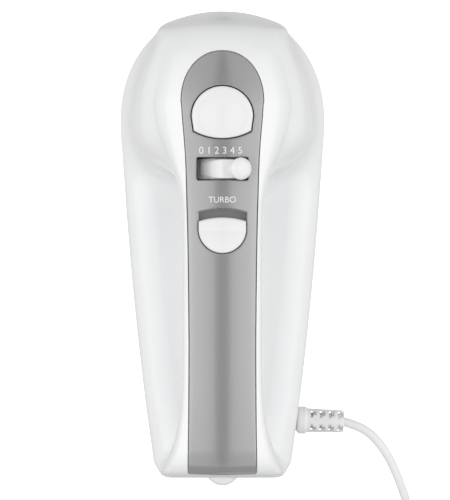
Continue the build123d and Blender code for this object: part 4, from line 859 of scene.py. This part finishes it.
def coil_points():
    """Turns of the coil: three lanes inwards on the floor, three outwards on top, then out to the plug."""
    sizes = bpy.context.scene.mixer_cord
    mean, lane, radius = sizes.coil_radius / MM, sizes.lane / MM, sizes.diameter / MM / 2
    cx, cy = coil_centre()
    floor_z = low("cord_coil")[2] + radius + 0.1
    start = atan2(CORD_POINTS[-1][1] - cy, CORD_POINTS[-1][0] - cx)
    turns, per_turn = 6 + (start + pi / 2) / (2 * pi), 18
    points = []
    for i in range(1, int(turns * per_turn) + 1):
        t = i / per_turn
        inward = sum(ease(t, k - 0.13, k) for k in (1, 2))
        outward = sum(ease(t, k - 0.13, k) for k in (4, 5))
        r = mean + lane * (1 - inward + outward)
        angle = start - 2 * pi * t
        points.append((cx + r * cos(angle), cy + r * sin(angle), floor_z + 4.15 * ease(t, 2.70, 2.86)))
    return points


def cord_route():
    """The lead's control points: down from the sleeve, round the coil and on into the plug."""
    x, z = high("cord_tail")[0], (low("cord_tail")[2] + high("cord_tail")[2]) / 2
    y = (low("cord_tail")[1] + high("cord_tail")[1]) / 2
    end = [(x + 4, y, z + 0.5), (x - 4, y, z + 0.2), (x - 10, y, z), (high("plug_body")[0] - 2, y, z)]
    return CORD_POINTS[:-1] + coil_points() + end


# ---------------------------------------------------------------- operators
class MIXER_OT_stage(Operator):
    """Adds the camera, the floor and the lights."""

    bl_idname = "mixer.stage"
    bl_label = "Stage"

    def execute(self, context):
        settings = context.scene.mixer_stage
        camera = bpy.data.cameras.new("camera")
        camera.sensor_width = 36.0
        camera.lens = 36.0 * settings.camera_height / settings.seen_height
        eye = bpy.data.objects.new("camera", camera)
        eye.location = (0.0011, -0.00044, 0.05 + settings.camera_height)
        context.collection.objects.link(eye)
        context.scene.camera = eye
        floor = bpy.data.meshes.new("floor")
        floor.from_pydata([(-4, -4, 0), (4, -4, 0), (4, 4, 0), (-4, 4, 0)], [], [(0, 1, 2, 3)])
        floor = bpy.data.objects.new("floor", floor)
        floor.location = (0, 0, -0.0003)
        floor.visible_diffuse = floor.visible_glossy = False
        context.collection.objects.link(floor)
        paper = surface("stage_paper", (0.95, 0.95, 0.95), (0.94, 0.94, 0.94), 0.8, cell=5)
        shader = paper.node_tree.nodes["Principled BSDF"]
        shader.inputs["Emission Color"].default_value = (1, 1, 1, 1)
        shader.inputs["Emission Strength"].default_value = settings.floor_glow
        floor.data.materials.append(paper)
        context.scene.world = self.tent(settings)
        context.scene.view_settings.view_transform = "Standard"
        return {"FINISHED"}

    def tent(self, settings):
        """White all round, darker at the horizon, brighter either side of a narrow dark gap overhead."""
        world = bpy.data.worlds.new("light_tent")
        world.use_nodes = True
        nodes, links = world.node_tree.nodes, world.node_tree.links

        def math(operation, first, second=None):
            node = nodes.new("ShaderNodeMath")
            node.operation = operation
            for socket, value in zip(node.inputs, (first, second)):
                if hasattr(value, "links"):
                    links.new(value, socket)
                elif value is not None:
                    socket.default_value = value
            return node.outputs["Value"]

        def ramp(factor, stops):
            node = nodes.new("ShaderNodeValToRGB")
            while len(node.color_ramp.elements) < len(stops):
                node.color_ramp.elements.new(0.5)
            for element, (position, level) in zip(node.color_ramp.elements, stops):
                element.position, element.color = position, (level, level, level, 1)
            links.new(factor, node.inputs["Fac"])
            return node.outputs["Color"]

        split = nodes.new("ShaderNodeSeparateXYZ")
        links.new(nodes.new("ShaderNodeTexCoord").outputs["Generated"], split.inputs["Vector"])
        aside = math("ABSOLUTE", split.outputs["X"])
        slant = math("DIVIDE", aside, math("MAXIMUM", split.outputs["Z"], 0.02))
        gap = settings.gap
        across = ramp(math("DIVIDE", slant, 2.0), (
            (0.0, 0.05), (gap / 2, 0.07), (gap, 0.45), (0.1, 0.62), (0.3, 0.8), (0.5, 0.9), (1.0, 0.95)))
        upward = math("MULTIPLY_ADD", split.outputs["Z"], 0.5)
        upward.node.inputs[2].default_value = 0.5
        rising = ramp(upward, ((0.0, 0.35), (0.47, 0.35), (0.5, 0.6), (0.55, 0.9), (0.66, 1.0), (1.0, 1.0)))
        endwise = ramp(math("ABSOLUTE", split.outputs["Y"]), (
            (0.0, 1.0), (0.25, 1.0), (0.6, 0.68), (1.0, 0.5)))
        product = math("MULTIPLY", math("MULTIPLY", across, rising), endwise)
        background = nodes["Background"]
        links.new(product, background.inputs["Color"])
        background.inputs["Strength"].default_value = settings.sky
        return world


class MIXER_OT_lead(Operator):
    """Lays the lead: out of the strain relief, down to the worktop and into its coil."""

    bl_idname = "mixer.lead"
    bl_label = "Lead"

    def execute(self, context):
        sizes = context.scene.mixer_cord
        route = cord_route()
        curve = bpy.data.curves.new("lead", "CURVE")
        curve.dimensions = "3D"
        spline = curve.splines.new("NURBS")
        spline.points.add(len(route) - 1)
        for point, place in zip(spline.points, route):
            point.co = (*(c * MM for c in place), 1)
        spline.order_u = 3
        spline.use_endpoint_u = True
        spline.resolution_u = 8
        curve.bevel_depth = sizes.diameter / 2
        curve.bevel_resolution = 6
        curve.use_fill_caps = True
        lead = bpy.data.objects.new("lead", curve)
        context.collection.objects.link(lead)
        curve.materials.append(finishes()["cord_white"])
        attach(lead, "housing")
        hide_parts("power_cord", "cord_coil", "cord_tail")
        fittings = [
            field_piece("plug_moulding", plug_field, "plug_body", "cord_white", "housing", 0.5),
            field_piece("plug_prongs", pins_field, "plug_pins", "pin_nickel", "housing", 0.35),
            field_piece("coil_tie", tie_field, "cord_tie", "tie_grey", "housing", 0.25),
        ]
        return {"FINISHED"}


class MIXER_OT_housings(Operator):
    """Makes the upper and lower housings from the mixer's form."""

    bl_idname = "mixer.housings"
    bl_label = "Housings"

    def execute(self, context):
        sizes = context.scene.mixer_housing
        cell, wall = sizes.voxel / MM, sizes.wall / MM
        lowest, highest = (-46, HEEL_Y - 7, -1), (46, NOSE_TIP + 1, HANDLE_TOP + 1)
        skin = field_mesh("skin", mixer_form, lowest, highest, cell)
        inner = field_mesh("inner", lambda x, y, z: mixer_form(x, y, z) + wall, lowest, highest, cell * 1.4)
        rest_y = HEEL_Y - HEEL_REST_REACH + HEEL_REST_RADIUS

        def heel_rest(x, y, z):
            around = np.hypot(x, y - rest_y) - HEEL_REST_RADIUS
            return smooth_meet(smooth_meet(around, np.abs(z - 25) - 13, 5.0), y - (HEEL_Y + 1.5), 0.2)

        upper = new_object("upper_housing_skin", skin.copy(), "shell_white")
        lower = new_object("lower_housing_skin", skin, "shell_white")
        carve(upper, block_mesh((-80, -160, PARTING_Z + PARTING_GAP), (80, 160, 160)), "INTERSECT")
        carve(lower, block_mesh((-80, -160, -20), (80, 160, PARTING_Z)), "INTERSECT")
        carve(lower, field_mesh("rest", heel_rest, (-9, HEEL_Y - 7, 10), (9, HEEL_Y + 3, 40), 0.5), "UNION")
        carve(upper, inner.copy())
        carve(lower, inner)
        self.open_upper(upper)
        self.open_lower(lower, wall)
        for piece, node in ((upper, "upper_housing"), (lower, "lower_housing")):
            follow_field(piece.data, mixer_form)
            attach(piece, "housing")
            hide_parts(node)
        return {"FINISHED"}

    def open_upper(self, upper):
        """Lets the strip's bed, the hole under it and the sleeve's hole into the upper housing."""
        strip = bpy.context.scene.mixer_strip
        gap, thickness = strip.gap / MM, strip.thickness / MM

        def rebate(x, y, z):
            skin = mixer_form(x, y, z)
            deep = np.maximum(STRIP.distance(x, y) - gap, -skin - thickness - 0.1)
            through = STRIP.distance(x, y) + 2.5
            through = np.maximum(through, np.maximum(HEEL_Y + 40 - y, y - (NOSE_Y + 19.3)))
            return np.maximum(np.minimum(deep, through), np.maximum(HANDLE_TOP - 20 - z, z - HANDLE_TOP - 4))

        low_corner, high_corner = (-19, HEEL_Y + 1, HANDLE_TOP - 21), (19, NOSE_Y + 31, HANDLE_TOP + 4)
        carve(upper, field_mesh("rebate", rebate, low_corner, high_corner, 0.5))
        carve(upper, self.relief_hole())

    def open_lower(self, lower, wall):
        """Makes the holes for beaters, screws, air, grille and sleeve in the lower housing."""
        for side in (-1, 1):
            centre = (side * SOCKET_X, GEAR_Y)
            carve(lower, rod_mesh((*centre, -3), (*centre, wall + 2), COLLAR_HOLE_RADIUS, 64))
            for x, y in ((15.0, GEAR_Y + 22), (24.0, low("rear_bearing")[1])):
                carve(lower, rod_mesh((side * x, y, -3), (side * x, y, wall + 2), SCREW_HOLE_RADIUS))
        slots_y = (low("motor_stator")[1] + high("motor_stator")[1]) / 2
        for i in range(AIR_SLOTS):
            y = slots_y - 22 - 5 * i
            carve(lower, block_mesh((-13, y - 1, -3), (13, y + 1, wall + 2)))
        carve(lower, block_mesh((-28.7, NOSE_Y + 25, 19.8), (28.7, NOSE_TIP + 5, 41.0)))
        carve(lower, self.relief_hole())

    def relief_hole(self):
        """The round hole that the sleeve's neck passes through."""
        x = flank_half_width(RELIEF_Y)
        reach = Vector((cos(RELIEF_TILT), sin(RELIEF_TILT), 0)) * 8
        middle = Vector((x, RELIEF_Y, PARTING_Z))
        return rod_mesh(middle - reach, middle + reach, 4.9)


class MIXER_OT_strip(Operator):
    """Makes the satin strip along the handle's top."""

    bl_idname = "mixer.strip"
    bl_label = "Handle strip"

    def execute(self, context):
        field_piece("handle_strip", strip_field, "handle_cover", "strip_grey", "housing", 0.4)
        return {"FINISHED"}


class MIXER_OT_controls(Operator):
    """Makes the eject button, the speed dial and the turbo slider."""

    bl_idname = "mixer.controls"
    bl_label = "Controls"

    def execute(self, context):
        field_piece("eject_cap", button_field, "eject_button", "control_white", "eject_lever", 0.33)
        field_piece("speed_drum", dial_field, "speed_dial", "control_white", "speed_knob", 0.33)
        field_piece("turbo_thumb", slider_field, "turbo_button", "control_white", "turbo_slider", 0.33)
        return {"FINISHED"}


class MIXER_OT_springs(Operator):
    """Winds the return springs of the button and the slider."""

    bl_idname = "mixer.springs"
    bl_label = "Return springs"

    def execute(self, context):
        rows = [
            ("eject_return", "eject_spring", "eject_press", 2, 0.5, 5, EJECT_TRAVEL),
            ("turbo_return", "turbo_spring", "turbo_push", 1, 0.4, 6, TURBO_TRAVEL),
        ]
        for name, node, joint, line, wire, turns, travel in rows:
            lowest, highest = low(node), high(node)
            middle = (lowest + highest) / 2
            start, end = middle.copy(), middle.copy()
            start[line], end[line] = lowest[line], highest[line]
            radius = (highest[0] - lowest[0]) / 2 - wire
            piece = new_object(name, spring_mesh(name, start, end, radius, wire, turns), "spring_steel")
            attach(piece, "housing")
            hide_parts(node)
            # the turbo slider presses its spring from behind, the button from above
            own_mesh(piece)
        return {"FINISHED"}


class MIXER_OT_markings(Operator):
    """Prints the speed scale and the function word on the strip."""

    bl_idname = "mixer.markings"
    bl_label = "Markings"

    def execute(self, context):
        sizes = context.scene.mixer_controls
        pitch = sizes.digit_pitch / MM
        print_white = surface("mixer_print", (0.80, 0.80, 0.80), (0.76, 0.76, 0.76), 0.5, cell=800)
        first_x, digit_y, digit_size = -8.9, DRUM_Y + 7.6, 4.2
        for i in range(sizes.speeds + 1):
            self.letter(f"speed_mark_{i}", str(i), first_x + pitch * i, digit_y, digit_size, print_white)
        word_y, word_size = TURBO_Y + 12.4, 3.6
        self.letter("turbo_mark", "TURBO", 0.0, word_y, word_size, print_white)
        return {"FINISHED"}

    def letter(self, name, text, x, y, size, material):
        """Lays a line of type on the handle's skin, centred at x and y."""
        curve = bpy.data.curves.new(name, "FONT")
        curve.body, curve.size = text, size * MM
        curve.align_x, curve.align_y = "CENTER", "CENTER"
        curve.space_character = 0.98
        curve.extrude = PRINT_STAND * MM
        curve.resolution_u = 6
        source = bpy.data.objects.new(name, curve)
        bpy.context.collection.objects.link(source)
        bpy.context.view_layer.update()
        mesh = bpy.data.meshes.new_from_object(source.evaluated_get(bpy.context.evaluated_depsgraph_get()))
        bpy.data.objects.remove(source)
        places = np.array([v.co[:] for v in mesh.vertices]) / MM
        places[:, 0] += x
        places[:, 1] += y
        places[:, 2] += skin_height(places[:, 0], places[:, 1]) + PRINT_STAND
        mesh.vertices.foreach_set("co", (places * MM).ravel())
        mesh.update()
        mesh.name = name
        piece = new_object(name, mesh, None)
        mesh.materials.clear()
        mesh.materials.append(material)
        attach(piece, "housing")


class MIXER_OT_relief(Operator):
    """Makes the slotted sleeve where the lead leaves the housing."""

    bl_idname = "mixer.relief"
    bl_label = "Strain relief"

    def execute(self, context):
        field_piece("cord_sleeve", relief_field, "strain_relief", "cord_white", "housing", 0.27)
        return {"FINISHED"}


class MIXER_OT_grille(Operator):
    """Makes the ribbed grille on the nose."""

    bl_idname = "mixer.grille"
    bl_label = "Grille"

    def execute(self, context):
        field_piece("nose_grille", grille_field, "front_grille", "grille_white", "housing", 0.5)
        return {"FINISHED"}


class MIXER_OT_inner_finish(Operator):
    """Gives every frame piece its finish."""

    bl_idname = "mixer.inner_finish"
    bl_label = "Inner finishes"

    def execute(self, context):
        made = finishes()
        for row in frame["record"]["subparts"]:
            node = frame["nodes"][row["node"]]
            for slot in node.material_slots:
                slot.material = made[row["material_slot"]]
            if not node.material_slots:
                node.data.materials.append(made[row["material_slot"]])
        return {"FINISHED"}


STEPS = (MIXER_OT_stage, MIXER_OT_lead, MIXER_OT_housings, MIXER_OT_strip, MIXER_OT_controls,
         MIXER_OT_springs, MIXER_OT_markings, MIXER_OT_relief, MIXER_OT_grille, MIXER_OT_inner_finish)
GROUPS = {"mixer_housing": HousingSizes, "mixer_strip": StripSizes, "mixer_controls": ControlSizes,
          "mixer_cord": CordSizes, "mixer_stage": StageSettings, "mixer_colours": MixerColours}


class MIXER_PT_panel(Panel):
    """Lists the mixer's pieces in the sidebar."""

    bl_label = "Hand Mixer"
    bl_idname = "MIXER_PT_panel"
    bl_space_type = "VIEW_3D"
    bl_region_type = "UI"
    bl_category = "Mixer"

    def draw(self, context):
        for name, group in GROUPS.items():
            column = self.layout.column(align=True)
            for prop in group.__annotations__:
                column.prop(getattr(context.scene, name), prop)
        for step in STEPS:
            self.layout.operator(step.bl_idname)


def register():
    """Adds the classes and their property groups to Blender."""
    for cls in (*GROUPS.values(), *STEPS, MIXER_PT_panel):
        bpy.utils.register_class(cls)
    for name, group in GROUPS.items():
        setattr(bpy.types.Scene, name, PointerProperty(type=group))


def unregister():
    """Takes the classes and their property groups out again."""
    for name in GROUPS:
        delattr(bpy.types.Scene, name)
    for cls in (MIXER_PT_panel, *STEPS, *GROUPS.values()):
        bpy.utils.unregister_class(cls)


def main():
    """Builds every piece in order."""
    register()
    for step in STEPS:
        getattr(bpy.ops.mixer, step.bl_idname.split(".")[1])()


if __name__ == "__main__":
    main()
